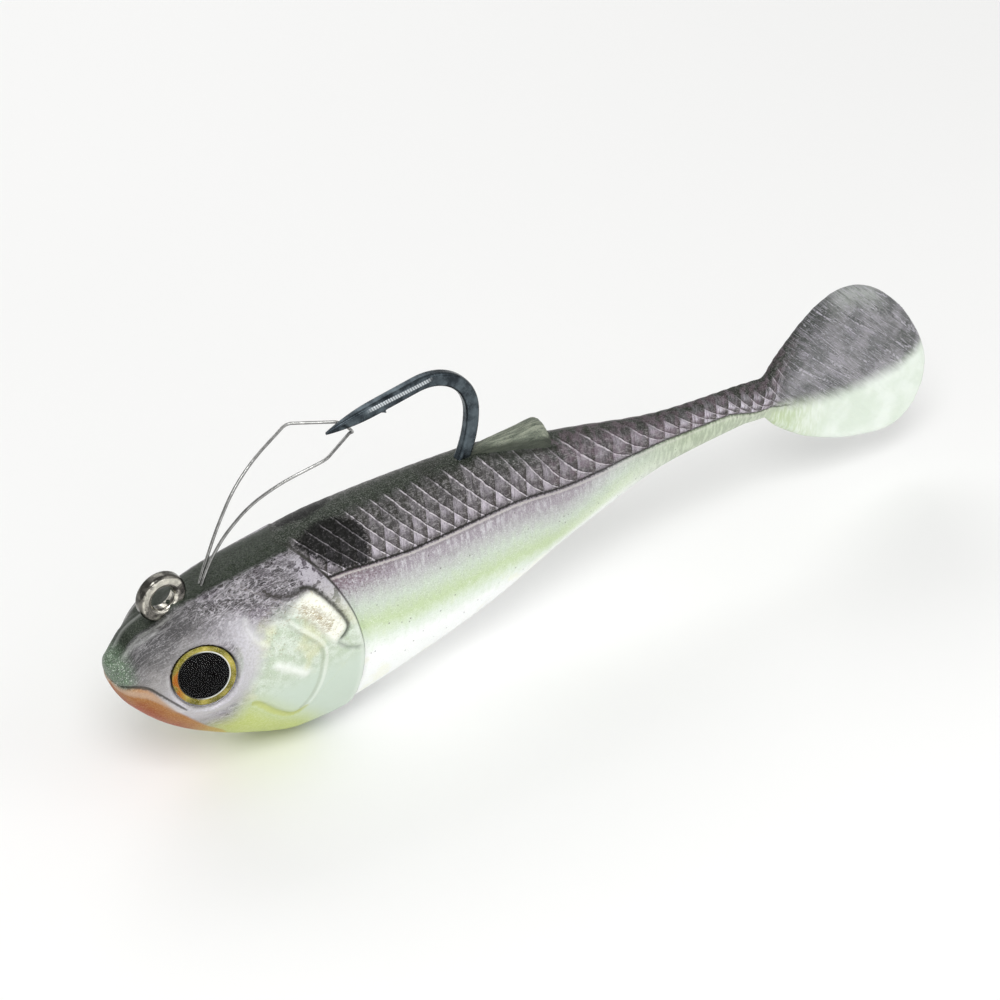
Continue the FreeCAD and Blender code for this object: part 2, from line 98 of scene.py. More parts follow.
def flowing(points, steps=8):
    """Points along a smooth curve through the given ones."""
    p = np.array(points, float)
    p = np.vstack([2 * p[0] - p[1], p, 2 * p[-1] - p[-2]])
    t = np.linspace(0, 1, steps, endpoint=False)[:, None]
    runs = []
    for a, b, c, d in zip(p, p[1:], p[2:], p[3:]):
        cubic = (3 * b - a - 3 * c + d) * t ** 3
        runs.append(0.5 * (2 * b + (c - a) * t + (2 * a - 5 * b + 4 * c - d) * t ** 2 + cubic))
    return np.vstack([*runs, p[-2:-1]])


def nearest(line, x, v):
    """Distance to a line, the side of it (1 is its left), and how far along it the nearest point is (0 to 1)."""
    best, side, along = np.full(x.shape, FAR), np.zeros(x.shape), np.zeros(x.shape)
    for k, (a, b) in enumerate(zip(line, line[1:])):
        d = b - a
        t = np.clip(((x - a[0]) * d[0] + (v - a[1]) * d[1]) / max(d @ d, TINY), 0, 1)
        gap_x, gap_v = x - a[0] - t * d[0], v - a[1] - t * d[1]
        gap = np.hypot(gap_x, gap_v)
        near = gap < best
        best = np.where(near, gap, best)
        side = np.where(near, np.sign(d[0] * gap_v - d[1] * gap_x), side)
        along = np.where(near, (k + t) / (len(line) - 1), along)
    return best, side, along


def distance(points, x, v):
    """Signed distance from a smooth curve, and how far along it."""
    gap, side, along = nearest(flowing(points), x, v)
    return gap * side, along


def drawn(points, x, v):
    """Signed distance for a line in a material. It jumps away from zero past the curve's ends, so the line stops."""
    gap, along = distance(points, x, v)
    return np.where(gap < 0, -1, 1) * (np.abs(gap) + 3 * (1 - smooth(0, 0.06, along) * smooth(1, 0.94, along)))


def inside(points, x, v, soft):
    """1 inside a closed outline, 0 outside, with a soft edge."""
    line = flowing([*points, points[0]], 5)
    crossings = np.zeros(x.shape, int)
    for a, b in zip(line, line[1:]):
        rise = b[1] - a[1] if abs(b[1] - a[1]) > TINY else TINY
        spans = (a[1] > v) != (b[1] > v)
        crossings += spans & (x < a[0] + (v - a[1]) / rise * (b[0] - a[0]))
    gap = nearest(line, x, v)[0]
    return smooth(-soft, soft, np.where(crossings % 2 == 1, gap, -gap))


# ---------------------------------------------------------------- body form

# Distance along the body, top, bottom, half width, and squareness of the top of the section, as in the frame.
STATIONS = np.array([
    (-8.1, -6.4, -7.4, 0.4, 2.2), (-7, -6.2, -11.6, 2.7, 2.3), (-4.5, -4.1, -15.2, 4.2, 2.5),
    (-1, -2.9, -18.6, 6.1, 2.6), (3, -1.45, -21.4, 7, 2.5), (9, 0.4, -24.4, 8.3, 2.2),
    (16, 1.4, -26.5, 9, 2.1), (24, 2.6, -25.8, 8.7, 2.05), (34, 2.9, -23.8, 8, 2),
    (46, 2.7, -20.6, 6.7, 2), (60, -0.1, -15.4, 4.4, 1.9), (76, -3.5, -11, 2.3, 1.9),
    (91.4, -4.5, -10.1, 1.35, 1.9), (97, -6.2, -9.8, 1, 2), (102, -7.6, -8.8, 0.5, 2),
])
MIDDLE, BELLY_SQUARENESS = 0.52, 1.95
STEM_START, TAIL_START = 70.5, 84.0

# The lateral line as v at x, the rear edge of the gill cover as x at v, and the length of a scale at x.
LATERAL = [
    (20, 7.8), (26, 8.6), (32, 9.1), (42, 8.7), (54, 7.8), (62, 6.4), (68, 4.9), (75, 3.7), (84, 3.4), (90, 4.2)]
GILL = [(0, 15.8), (4.5, 17.9), (10, 20.4), (15, 22.1), (20, 22.9), (28, 22.6), (36, 20)]
SCALE_PITCH = [(18, 2.05), (38, 2.05), (50, 2.6), (66, 3.2), (72, 2.9), (80, 2), (96, 1.9)]
FIRST_SCALE = 24.7

EYE = np.array([1.65, -6.55, -8.55])
EYE_ON_SKIN = (2.6, 11.2)
EYE_AXIS = np.array([-0.295, -0.937, 0.18])
EYE_AXIS = EYE_AXIS / np.linalg.norm(EYE_AXIS)
EYE_RADIUS, EYE_PROUD, EYE_DOME = 4.1, 0.25, 0.95


def stations(x):
    return [monotone(STATIONS[:, 0], STATIONS[:, k], x) for k in range(1, 5)]


def run_down(y, z):
    """Length from the crest down each section."""
    return np.concatenate([np.zeros((len(y), 1)), np.cumsum(np.hypot(np.diff(y), np.diff(z)), axis=1)], axis=1)


def half_section(x, count):
    """Near side of the body at each x: y, z and v at evenly spaced points from crest to keel."""
    top, bottom, half, square = (a[:, None] for a in stations(x))
    phi = np.linspace(math.pi / 2, -math.pi / 2, 361)[None]
    c, s = np.cos(phi), np.sin(phi)
    middle = bottom + MIDDLE * (top - bottom)
    power = np.where(s > 0, 2 / square, 2 / BELLY_SQUARENESS)
    y = -np.abs(c) ** power * half
    z = middle + np.sign(s) * np.abs(s) ** power * np.where(s > 0, top - middle, middle - bottom)
    share = np.linspace(0, 1, count + 1)
    rows = [(np.interp(share * arc[-1], arc, ys), np.interp(share * arc[-1], arc, zs), share * arc[-1])
            for arc, ys, zs in zip(run_down(y, z), y, z)]
    return [np.array(column) for column in zip(*rows)]


# Outline of the paddle in the middle plane, over the top from the stem to the rearmost point, and under it back.
PADDLE_TOP = [
    (82, -4.1), (87, -4.4), (90.8, -4.75), (91.5, -4.4), (92.3, -3.3), (93.7, -1.6), (97.1, 1.7), (100.4, 3.9),
    (103.7, 4.8), (107, 4.2), (110.5, 2), (114.2, -2), (117.2, -7), (118.5, -10.4), (118.8, -12.6)]
PADDLE_BOTTOM = [
    (82, -10.7), (87, -10.55), (90.9, -10.6), (91.7, -10.95), (92.6, -12), (94.1, -13.4), (98.6, -16.6),
    (104.4, -19.2), (109, -20.4), (113, -20.8), (116.3, -19.2), (118.1, -16.4), (118.7, -14), (118.8, -12.6)]
PADDLE_HALF, PADDLE_EDGE = 0.9, 1.1
TAIL_END = PADDLE_TOP[-1][0]
# Height of the line on the paddle under which the plastic is pale.
SHADE_LINE = [
    (84, -6.8), (89, -7.8), (92, -8.7), (96, -9.9), (100.6, -10.8), (105, -11.3), (113.4, -10.7), (118.8, -7.6)]


def tail_section(x, count):
    """Near side of the tail at each x. The oval stem runs on as a spine into the flat paddle."""
    top_line, bottom_line = flowing(PADDLE_TOP, 24), flowing(PADDLE_BOTTOM, 24)
    body_top, body_bottom, half, square = (a[:, None] for a in stations(np.minimum(x, STATIONS[-1, 0])))
    into = smooth(84.5, 90.5, x)[:, None]
    top = np.interp(x, top_line[:, 0], top_line[:, 1])[:, None]
    bottom = np.interp(x, bottom_line[:, 0], bottom_line[:, 1])[:, None]
    top, bottom = body_top + (top - body_top) * into, body_bottom + (bottom - body_bottom) * into
    middle = bottom + MIDDLE * (top - bottom)
    phi = np.linspace(math.pi / 2, -math.pi / 2, count + 1)[None]
    s = np.sin(phi)
    z = middle + s * np.where(s > 0, top - middle, middle - bottom)
    wide = np.broadcast_to(x[:, None], z.shape)
    edge = np.minimum(*(nearest(line[::2], wide, z)[0] for line in (top_line, bottom_line)))
    rim = np.clip(edge / PADDLE_EDGE, 0, 1)
    plate = PADDLE_HALF * smooth(85, 91, x)[:, None] * np.sqrt(np.maximum(1 - (1 - rim) ** 2, 0))
    body_middle = body_bottom + MIDDLE * (body_top - body_bottom)
    reach = np.where(z > body_middle, body_top - body_middle, body_middle - body_bottom)
    level = np.clip(np.abs(z - body_middle) / np.maximum(reach, 0.05), 0, 1)
    bluntness = np.where(z > body_middle, square, BELLY_SQUARENESS)
    spine = half * np.maximum(1 - level ** bluntness, 0) ** (1 / bluntness) * (1 - smooth(92, 101, x)[:, None])
    y = -(plate ** 4 + spine ** 4) ** 0.25
    return y, z, run_down(y, z)


# ---------------------------------------------------------------- moulded relief and colour zones

# Curves in (x, v). Five are drawn as lines in the paint: the mouth, the cheek bone, the dark outline over the gill
# plate, a yellow crease, and a streak on the plate. The sixth is the upper edge of the orange jaw.
MOUTH = [(-7.7, 4.2), (-6.3, 5.4), (-4, 8.9), (-1.9, 12.1), (-0.4, 14.4)]
CHEEK = [(12.6, 9.4), (14.8, 12.2), (17.2, 15.5), (17, 19.5), (15.8, 23), (14, 25.4)]
BROW = [
    (11.2, 4.8), (11.6, 5.9), (12.9, 7), (15, 7.6), (16.4, 7.4), (18.2, 9.2), (20.6, 13.8), (20.3, 15.3),
    (19, 16)]
CREASE = [(7.2, 19.4), (8.3, 20), (11, 23.5), (13.6, 25.5), (15.5, 23.9)]
STREAK = [(14.6, 9.3), (16.3, 11), (18.4, 13.8)]
ORANGE = [(-7, 4.8), (-4.8, 8.4), (-3, 11.3), (-1.1, 15.3), (2.5, 21.2), (5.5, 27)]
# Relief on the head: curve, half width, height (a ridge is positive, a groove negative), and tint: a positive tint is
# painted highlight along the line, a negative one painted shade in it.
HEAD_LINES = [
    (CHEEK, 0.45, 0.20, 0.12),
    ([(13.6, 7.3), (16.7, 7.5), (18.4, 9.7), (20.6, 13.8), (20.3, 15.3), (19, 16)], 0.38, -0.30, -0.9),
    ([(18.9, 15.9), (20.5, 17.6), (22.6, 18.7)], 0.35, -0.28, -0.5),
    ([(13, 9.6), (15.3, 10.6), (18.2, 14.8), (19, 16)], 0.35, 0.12, 0.3),
    ([(8, 6.6), (7.9, 8.9), (9.1, 11.1), (10.4, 12.5)], 0.5, 0.22, 0.35),
    ([(9.9, 9.3), (12.4, 9.9), (14.7, 12.6)], 0.4, 0.20, 0.4),
    ([(10.3, 14.6), (12.6, 16.6), (15.2, 18.8)], 0.60, 0.26, 1),
    ([(7.2, 19.4), (9, 20.6), (11.2, 23.4), (13.6, 25.4), (15.5, 23.9)], 0.40, -0.22, -0.15),
    ([(-5.7, 3.4), (-4.3, 4.5), (-3.2, 5)], 0.22, -0.14, -0.4),
    ([(-6.6, 1), (-4, 1.8), (-1.2, 1.9)], 0.30, 0.12, 0.3),
]
# Outlines of colour zones: jaw, yellow throat, black blotch behind the gill, bright plate, dark patch over the plate.
JAW = [
    (-7.6, 4.6), (-6.2, 5.7), (-4.4, 8.6), (-2.8, 11.6), (-0.9, 15.2), (2.4, 20.6), (5.6, 25.5), (5.6, 31), (-9, 31),
    (-9, 8)]
THROAT = [
    (3.4, 21), (5.6, 21), (7.2, 19.6), (9.2, 21.2), (12.2, 24.6), (16, 27.6), (19, 32), (17, 40), (3, 40)]
BLOTCH = [
    (17.4, 2.2), (19.4, 1.2), (21.3, 0.7), (23.2, 1), (25.4, 2.2), (26.6, 4.2), (25.4, 8.4), (23.2, 8.2),
    (21.6, 7.4), (19.4, 5.6)]
BRIGHT_PLATE = [(13.2, 9.2), (16, 8.2), (17.6, 8.7), (20.2, 13.4), (19.6, 15.2), (18.1, 15), (15.4, 10.6)]
DARK_PATCH = [(9.4, 2.6), (10.2, 5.4), (12.4, 7), (15.2, 7.2), (16.4, 4.8), (15, 2.6), (12.4, 1.6)]
HEAD_ENDS = 20
AWAY = 9.0


def scale_rows(x, up, lateral):
    """Row numbers in the two families of scale rows that cross, counted along the lateral line."""
    along = np.linspace(10, 125, 1200)
    pitch = through(SCALE_PITCH, np.clip(along, 18, 92))
    count = np.concatenate([[0], np.cumsum((along[1] - along[0]) / pitch[:-1])])
    count -= np.interp(FIRST_SCALE, along, count)
    curve = up * (2 - np.minimum(up / lateral, 1))
    rear = smooth(46, 58, x)
    lean = (0.16 * up + 0.484 * curve) * (1 - rear) + (0.8 * up + 2.6 * (1 - np.exp(-up / 0.9))) * rear
    return np.interp(x + lean, along, count), np.interp(x - 0.30 * up + 0.9, along, count)


def head_relief(x, v, ahead):
    """Relief height on the head, and the painted highlight and painted shade that go with it."""
    relief, light, shade = np.zeros((3, *x.shape))
    for points, width, height, tint in HEAD_LINES:
        d, along = distance(points, x, v)
        taper = smooth(0, 0.12, along) * smooth(1, 0.88, along)
        line = bell(d, width) * taper * smooth(0.02, 0.2, ahead)
        relief += height * line
        # a positive tint paints highlight along the line, a negative one paints shade in it
        if tint > 0:
            light = np.maximum(light, tint * line)
        else:
            shade = np.maximum(shade, -tint * bell(d, width * 0.7) * taper)
    relief += 0.16 * inside(BRIGHT_PLATE, x, v, 0.45) * smooth(13.5, 16.5, x)
    # gill cover: swells backwards to a lip that stands over a groove
    reach = smooth(4, 11, v) * (1 - smooth(29, 35, v))
    relief += reach * (0.62 * smooth(-0.45, 0.05, ahead) * smooth(9, 0.4, ahead) - 0.22 * bell(ahead + 0.6, 0.35))
    # painted highlight along the lip of the gill cover
    light = np.maximum(light, 0.35 * reach * bell(ahead - 0.35, 0.4) * smooth(9, 12, v))
    # the skin is drawn up round the foot of the ring
    relief += 0.95 * bell(x - 1.6, 1.5) * bell(v, 1.4)
    # mouth: a cut between two lips
    d, along = distance(MOUTH, x, v)
    lips = 0.10 * bell(d - 0.75, 0.6) + 0.06 * bell(d + 0.7, 0.6) - 0.26 * bell(d, 0.24)
    relief += smooth(1, 0.86, along) * lips
    return relief, light, shade


def zones(x, v, z, keel, tail):
    """Relief height and colour masks over the skin. keel is the whole length from crest to keel at each x."""
    lateral = through(LATERAL, np.clip(x, 18, 90))
    below = v - lateral
    if tail:
        below = below + (through(SHADE_LINE, x) - z - below) * smooth(88.5, 93, x)
    ahead = through(GILL, np.clip(v, 0, 36)) - x
    head = smooth(-0.12, 0.12, ahead)
    body = 1 - head
    back_row, fore_row = scale_rows(x, np.maximum(-below, 0), lateral)
    scaled = body * (1 - smooth(-0.1, 0.1, below)) * (1 - smooth(92, 97, x))
    front = x.min() < HEAD_ENDS
    relief, light, shade = head_relief(x, v, ahead) if front else np.zeros((3, *x.shape))
    # lateral line: a groove with a fine ridge under it
    on_line = body * smooth(20.2, 21.5, x) * (1 - smooth(89, 92, x))
    relief += on_line * (0.07 * bell(below - 0.5, 0.3) - 0.20 * bell(below, 0.25))
    # painted shade in the crease where the skin turns up into the fin
    fin_crease_shade = bell(v - 1.2 - 1.1 * smooth(44, 50, x), 0.42) * smooth(45, 47.5, x) * smooth(57.8, 56.4, x)
    shade = np.maximum(shade, 0.9 * fin_crease_shade)
    # each scale is slightly crowned, which also nicks the outline of the back behind the fin
    crown = np.abs(np.sin(math.pi * back_row))
    relief += scaled * crown * (0.03 * smooth(0.8, 2.5, v) + 0.07 * smooth(55, 66, x))
    # mould seam along crest and keel
    relief -= 0.05 * bell(v, 0.15) * smooth(22, 28, x) + 0.05 * bell(keel - v, 0.15)

    masks = {
        "below": below, "ahead": ahead, "back_row": back_row, "fore_row": fore_row, "keel_gap": keel - v,
        "scaled": scaled, "head": head, "light": light, "shade": shade,
        "paddle": smooth(90.5, 96.5, x + 0.5 * (v - 4)),
        "from_eye": np.hypot(x - EYE_ON_SKIN[0], v - EYE_ON_SKIN[1]),
        "orange": nearest(flowing(ORANGE), x, v)[0] if front else np.full(x.shape, AWAY)}
    for key, outline, soft in (("jaw", JAW, 0.5), ("throat", THROAT, 2.6), ("blotch", BLOTCH, 1),
                               ("plate", BRIGHT_PLATE, 0.6), ("patch", DARK_PATCH, 0.9)):
        masks[key] = inside(outline, x, v, soft) if front else 0 * x
    masks["jaw"] *= smooth(9.5, 6, x)
    masks["throat"] *= smooth(21, 15, x)
    for key, curve in (("lip", MOUTH), ("cheek", CHEEK), ("brow", BROW), ("crease", CREASE), ("streak", STREAK)):
        masks[key] = drawn(curve, x, v) if front else np.full(x.shape, AWAY)
    return relief, masks


# ---------------------------------------------------------------- skin meshes

FLIP = np.array([1, -1, 1])


def surface_normals(points):
    normal = np.cross(np.gradient(points, axis=1), np.gradient(points, axis=0))
    normal /= np.linalg.norm(normal, axis=-1, keepdims=True) + 1e-12
    normal[:, [0, -1], 1] = 0
    return normal / (np.linalg.norm(normal, axis=-1, keepdims=True) + 1e-12)


SOCKET_RADIUS, SOCKET_DEPTH, RIM_RADIUS, LAND = 4.22, 0.6, 4.65, 0.30


def seat_eye(points):
    """Beds the skin round the eye: a flat land and a raised rim, and a socket under the disc."""
    gap = points - EYE
    height = gap @ EYE_AXIS
    radius = np.linalg.norm(gap - height[..., None] * EYE_AXIS, axis=-1)
    near = (points[..., 1] < 0) & (radius < 8) & (np.abs(height) < 5)
    land = LAND + 0.28 * bell(radius - RIM_RADIUS, 0.42)
    settled = land + (height - land) * smooth(4.5, 6.6, radius)
    settled = -SOCKET_DEPTH + (settled + SOCKET_DEPTH) * smooth(4, SOCKET_RADIUS, radius)
    move = np.where(near, settled - height, 0)
    return points + move[..., None] * EYE_AXIS


def ring_faces(rows, sides, turned=False):
    """Quads between closed rings, and the grid of their corner numbers. They face the other way when turned."""
    index = np.arange(rows * sides).reshape(rows, sides)
    after = np.roll(index, -1, axis=1)
    corners = [index[:-1], after[:-1], after[1:], index[1:]]
    if turned:
        corners[1:] = corners[:0:-1]
    return np.stack(corners, axis=-1).reshape(-1, 4).tolist(), index


def mesh_object(name, vertices, faces, attributes, normals=None):
    mesh = bpy.data.meshes.new(name)
    mesh.from_pydata((np.asarray(vertices) * MM).tolist(), [], faces)
    mesh.polygons.foreach_set("use_smooth", [True] * len(mesh.polygons))
    for key, values in attributes.items():
        values = np.asarray(values, np.float32)
        kind, field = ("FLOAT_VECTOR", "vector") if values.ndim == 2 else ("FLOAT", "value")
        mesh.attributes.new(key, kind, "POINT").data.foreach_set(field, values.ravel())
    mesh.update()
    if normals is not None:
        mesh.normals_split_custom_set_from_vertices(np.asarray(normals).tolist())
    obj = bpy.data.objects.new(name, mesh)
    bpy.context.scene.collection.objects.link(obj)
    return obj


def make_skin(name, x, count, first, last, tail=False):
    """A closed sleeve round the body between two places, from a slightly longer grid so that seams shade evenly."""
    y, z, v = (tail_section if tail else half_section)(x, count)
    wide = np.broadcast_to(x[:, None], y.shape)
    base = np.stack([wide, y, z], axis=-1)
    relief, masks = zones(wide, v, z, v[:, -1:], tail)
    if tail:
        streaks = np.sin((wide + z) * 2.3 + 1.4 * np.sin((wide - z) * 0.21)) * np.sin((wide + z) * 0.9 + 0.4)
        relief = relief + 0.05 * streaks * masks["paddle"] * smooth(0, 1.2, v) * smooth(0, 1.2, v[:, -1:] - v)
    points = base + surface_normals(base) * relief[..., None]
    points[:, [0, -1], 1] = 0
    if x[0] < 0:
        points = seat_eye(points)
    normals = surface_normals(points)
    keep = (x >= first - 1e-6) & (x <= last + 1e-6)

    def around(near, flip=1):
        """Both sides of a near-side grid as one closed ring per row."""
        near = near[keep]
        return np.concatenate([near, near[:, -2:0:-1] * flip], axis=1)

    vertices = around(points, FLIP).reshape(-1, 3)
    attributes = {key: around(mask).ravel() for key, mask in masks.items()}
    attributes["down"] = around(v).ravel()
    attributes["rest"] = vertices
    attributes["chart"] = np.stack([vertices[:, 0], around(v, -1).ravel(), 0 * vertices[:, 0]], axis=-1)
    faces, index = ring_faces(keep.sum(), 2 * count)
    if first <= STATIONS[0, 0]:
        faces.append(index[0, ::-1].tolist())
    return mesh_object(name, vertices, faces, attributes, around(normals, FLIP).reshape(-1, 3))


def front_places():
    """Closest together on the snout."""
    places = [STATIONS[0, 0]]
    while places[-1] < STEM_START + 0.3:
        places.append(places[-1] + 0.05 + 0.176 * float(smooth(-8.1, -4.0, places[-1])))
    places = np.array(places)
    last = np.searchsorted(places, STEM_START)
    places[last] = STEM_START
    return places


def stem_places():
    places = np.arange(STEM_START - 0.4, TAIL_START + 0.5, 0.2)
    for end in (STEM_START, TAIL_START):
        places[np.argmin(abs(places - end))] = end
    return places


def tail_places():
    """Evenly spaced at first, and closer together where the outline of the paddle turns."""
    turning = 106
    rounding = turning + (TAIL_END - turning) * np.sin(np.linspace(0, math.pi / 2, 90))
    before = [TAIL_START - 0.4, TAIL_START - 0.2]
    return np.unique(np.concatenate([before, np.arange(TAIL_START, turning, 0.22), rounding]))


skin_front = make_skin("skin_front", front_places(), 136, STATIONS[0, 0], STEM_START)
skin_stem = make_skin("skin_stem", stem_places(), 70, STEM_START, TAIL_START)
skin_tail = make_skin("skin_tail", tail_places(), 120, TAIL_START, TAIL_END, tail=True)

# ---------------------------------------------------------------- dorsal fin

FIN_TOP = [(44.4, 2.6), (45, 3.05), (47.4, 3.35), (51, 3.5), (54.5, 3.8), (55.2, 3.6), (56.1, 2), (57, -0.6)]
FIN_BACK = 54.4
FIN_SHOULDER, FIN_CROWN, FIN_SUNK = 0.42, 0.22, 1.6


def make_fin():
    """A long ridge moulded on the back, grooved along its length, with a blunt rear end."""
    ends = FIN_TOP[0][0], FIN_TOP[-1][0]
    x = np.unique(np.concatenate([np.linspace(ends[0], FIN_BACK, 90), np.linspace(FIN_BACK, ends[1], 50)]))[:, None]
    top, back = through(FIN_TOP, x), stations(x)[0]
    grow = smooth(42.5, 48.5, x)
    around = np.linspace(-1, 1, 61)[None]
    crest = 0.35 + 0.55 * grow
    foot = crest + 0.35 + 1.1 * grow
    on_crest = np.minimum(np.abs(around) / FIN_SHOULDER, 1)
    past = np.maximum(np.abs(around) - FIN_SHOULDER, 0) / (1 - FIN_SHOULDER)
    y = crest * on_crest + (foot - crest) * past ** 1.15
    z = top - FIN_CROWN * on_crest ** 3 - (top - back + FIN_SUNK - FIN_CROWN) * past
    groove = np.sin(around * 21 + 0.8 * np.sin(x * 0.9)) * (0.5 + 0.5 * np.sin(x * 1.7 + around * 9))
    z = z + 0.07 * groove * smooth(44.6, 47, x)
    y = np.sign(around) * (y + 0.05 * np.cos(around * 34 + x * 0.6))
    flat = np.stack([np.broadcast_to(x, z.shape), y, z], axis=-1).reshape(-1, 3)
    index = np.arange(z.size).reshape(z.shape)
    quads = [index[:-1, :-1], index[1:, :-1], index[1:, 1:], index[:-1, 1:]]
    faces = np.stack(quads, axis=-1).reshape(-1, 4).tolist()
    faces += [index[0].tolist(), index[-1, ::-1].tolist()]
    faces.append(np.concatenate([index[:, 0][::-1], index[:, -1]]).tolist())
    return mesh_object("dorsal_fin", flat, faces, {
        "rest": flat, "across": np.broadcast_to(around, z.shape).ravel(), "height": (z - back).ravel()})


dorsal_fin = make_fin()

# ---------------------------------------------------------------- wire weed guard

# Corners of one leg, from its root in the lead to the tip of the loop, and the reach of the curve over each.
GUARD = [
    (4.2, 0.28, -7), (4.9, 0.28, -2.6), (5.8, 0.28, 0.1), (6.9, 0.4, 2.7), (8.6, 0.85, 5.8), (11.6, 1.85, 9.6),
    (15.4, 3, 12.1), (21.1, 4.5, 14.2), (26.5, 1.35, 14.1), (27.4, 0.65, 13.4)]
GUARD_BENDS = [1.5, 1, 1.2, 1.8, 2.4, 2.2, 0.8, 0.5, 0.5]
WIRE_RADIUS = 0.2


def bent_wire(points, reach):
    """Straight runs with a short curve over each corner, which starts reach before it."""
    points = [np.array(p, float) for p in points]
    path = [points[0]]
    for before, corner, after, r in zip(points, points[1:], points[2:], reach):
        into, out = corner - before, after - corner
        start = corner - into * min(0.45, r / np.linalg.norm(into))
        end = corner + out * min(0.45, r / np.linalg.norm(out))
        path += [start * (1 - t) ** 2 + corner * 2 * t * (1 - t) + end * t * t for t in np.linspace(0, 1, 9)]
    return np.array([*path, points[-1]])


def make_tube(name, path, radius, sides=16):
    tangents = np.gradient(path, axis=0)
    tangents /= np.linalg.norm(tangents, axis=1, keepdims=True)
    normal = np.cross(tangents[0], [0, 1, 0])
    turns = np.linspace(0, 2 * math.pi, sides, endpoint=False)[:, None]
    rings = []
    for point, tangent in zip(path, tangents):
        normal = normal - tangent * (normal @ tangent)
        normal /= np.linalg.norm(normal)
        side = np.cross(tangent, normal)
        rings.append(point + radius * (np.cos(turns) * normal + np.sin(turns) * side))
    faces, index = ring_faces(len(path), sides)
    faces += [index[0, ::-1].tolist(), index[-1].tolist()]
    return mesh_object(name, np.concatenate(rings), faces, {})


guard_path = bent_wire([*GUARD, *(np.array(GUARD[::-1]) * FLIP)], [*GUARD_BENDS, *GUARD_BENDS[::-1]])
guard_wire = make_tube("guard_wire", guard_path, WIRE_RADIUS)

# ---------------------------------------------------------------- eyes


def turned_piece(name, profile, flip, segments=128):
    """A profile of (radius, height) pairs turned about the axis of one eye."""
    centre, axis = EYE * flip, EYE_AXIS * flip
    across = np.cross(axis, [0, 0, 1.0])
    across /= np.linalg.norm(across)
    up = np.cross(across, axis)
    turns = np.linspace(0, 2 * math.pi, segments, endpoint=False)
    rings, local = [], []
    for radius, height in profile:
        c, s = np.cos(turns)[:, None] * radius, np.sin(turns)[:, None] * radius
        rings.append(centre + c * across + s * up + height * axis)
        local.append(np.concatenate([c, s, np.full_like(c, height)], axis=1))
    faces, index = ring_faces(len(profile), segments, turned=True)
    faces += [index[0].tolist(), index[-1, ::-1].tolist()]
    return mesh_object(name, np.concatenate(rings), faces, {"local": np.concatenate(local)})


def dome_profile(radius, rise, base, steps=22):
    ball = (radius ** 2 + rise ** 2) / (2 * rise)
    turns = np.linspace(0.01, math.asin(radius / ball), steps)
    arc = [(ball * math.sin(t), base + rise - ball * (1 - math.cos(t))) for t in turns]
    return [*arc, (radius - 0.02, base), (0.02, base)]


PRINT_PROFILE = [
    (0.02, EYE_PROUD), (1.5, EYE_PROUD), (3, EYE_PROUD), (3.9, EYE_PROUD), (4.05, EYE_PROUD - 0.04),
    (EYE_RADIUS, EYE_PROUD - 0.12), (EYE_RADIUS, EYE_PROUD - 1.2), (0.02, EYE_PROUD - 1.2)]
CAP_PROFILE = dome_profile(EYE_RADIUS - 0.03, EYE_DOME - 0.1, EYE_PROUD + 0.03)
eye_pieces = {
    side: (turned_piece(f"{side}_eye_print", PRINT_PROFILE, flip), turned_piece(f"{side}_eye_cap", CAP_PROFILE, flip))
    for side, flip in (("left", FLIP), ("right", 1))}

# ---------------------------------------------------------------- materials


def colour(red, green, blue):
    """From everyday 0 to 255 values to the linear ones that Blender takes."""
    def line(c):
        c /= 255
        return c / 12.92 if c <= 0.04045 else ((c + 0.055) / 1.055) ** 2.4
    return (line(red), line(green), line(blue), 1.0)


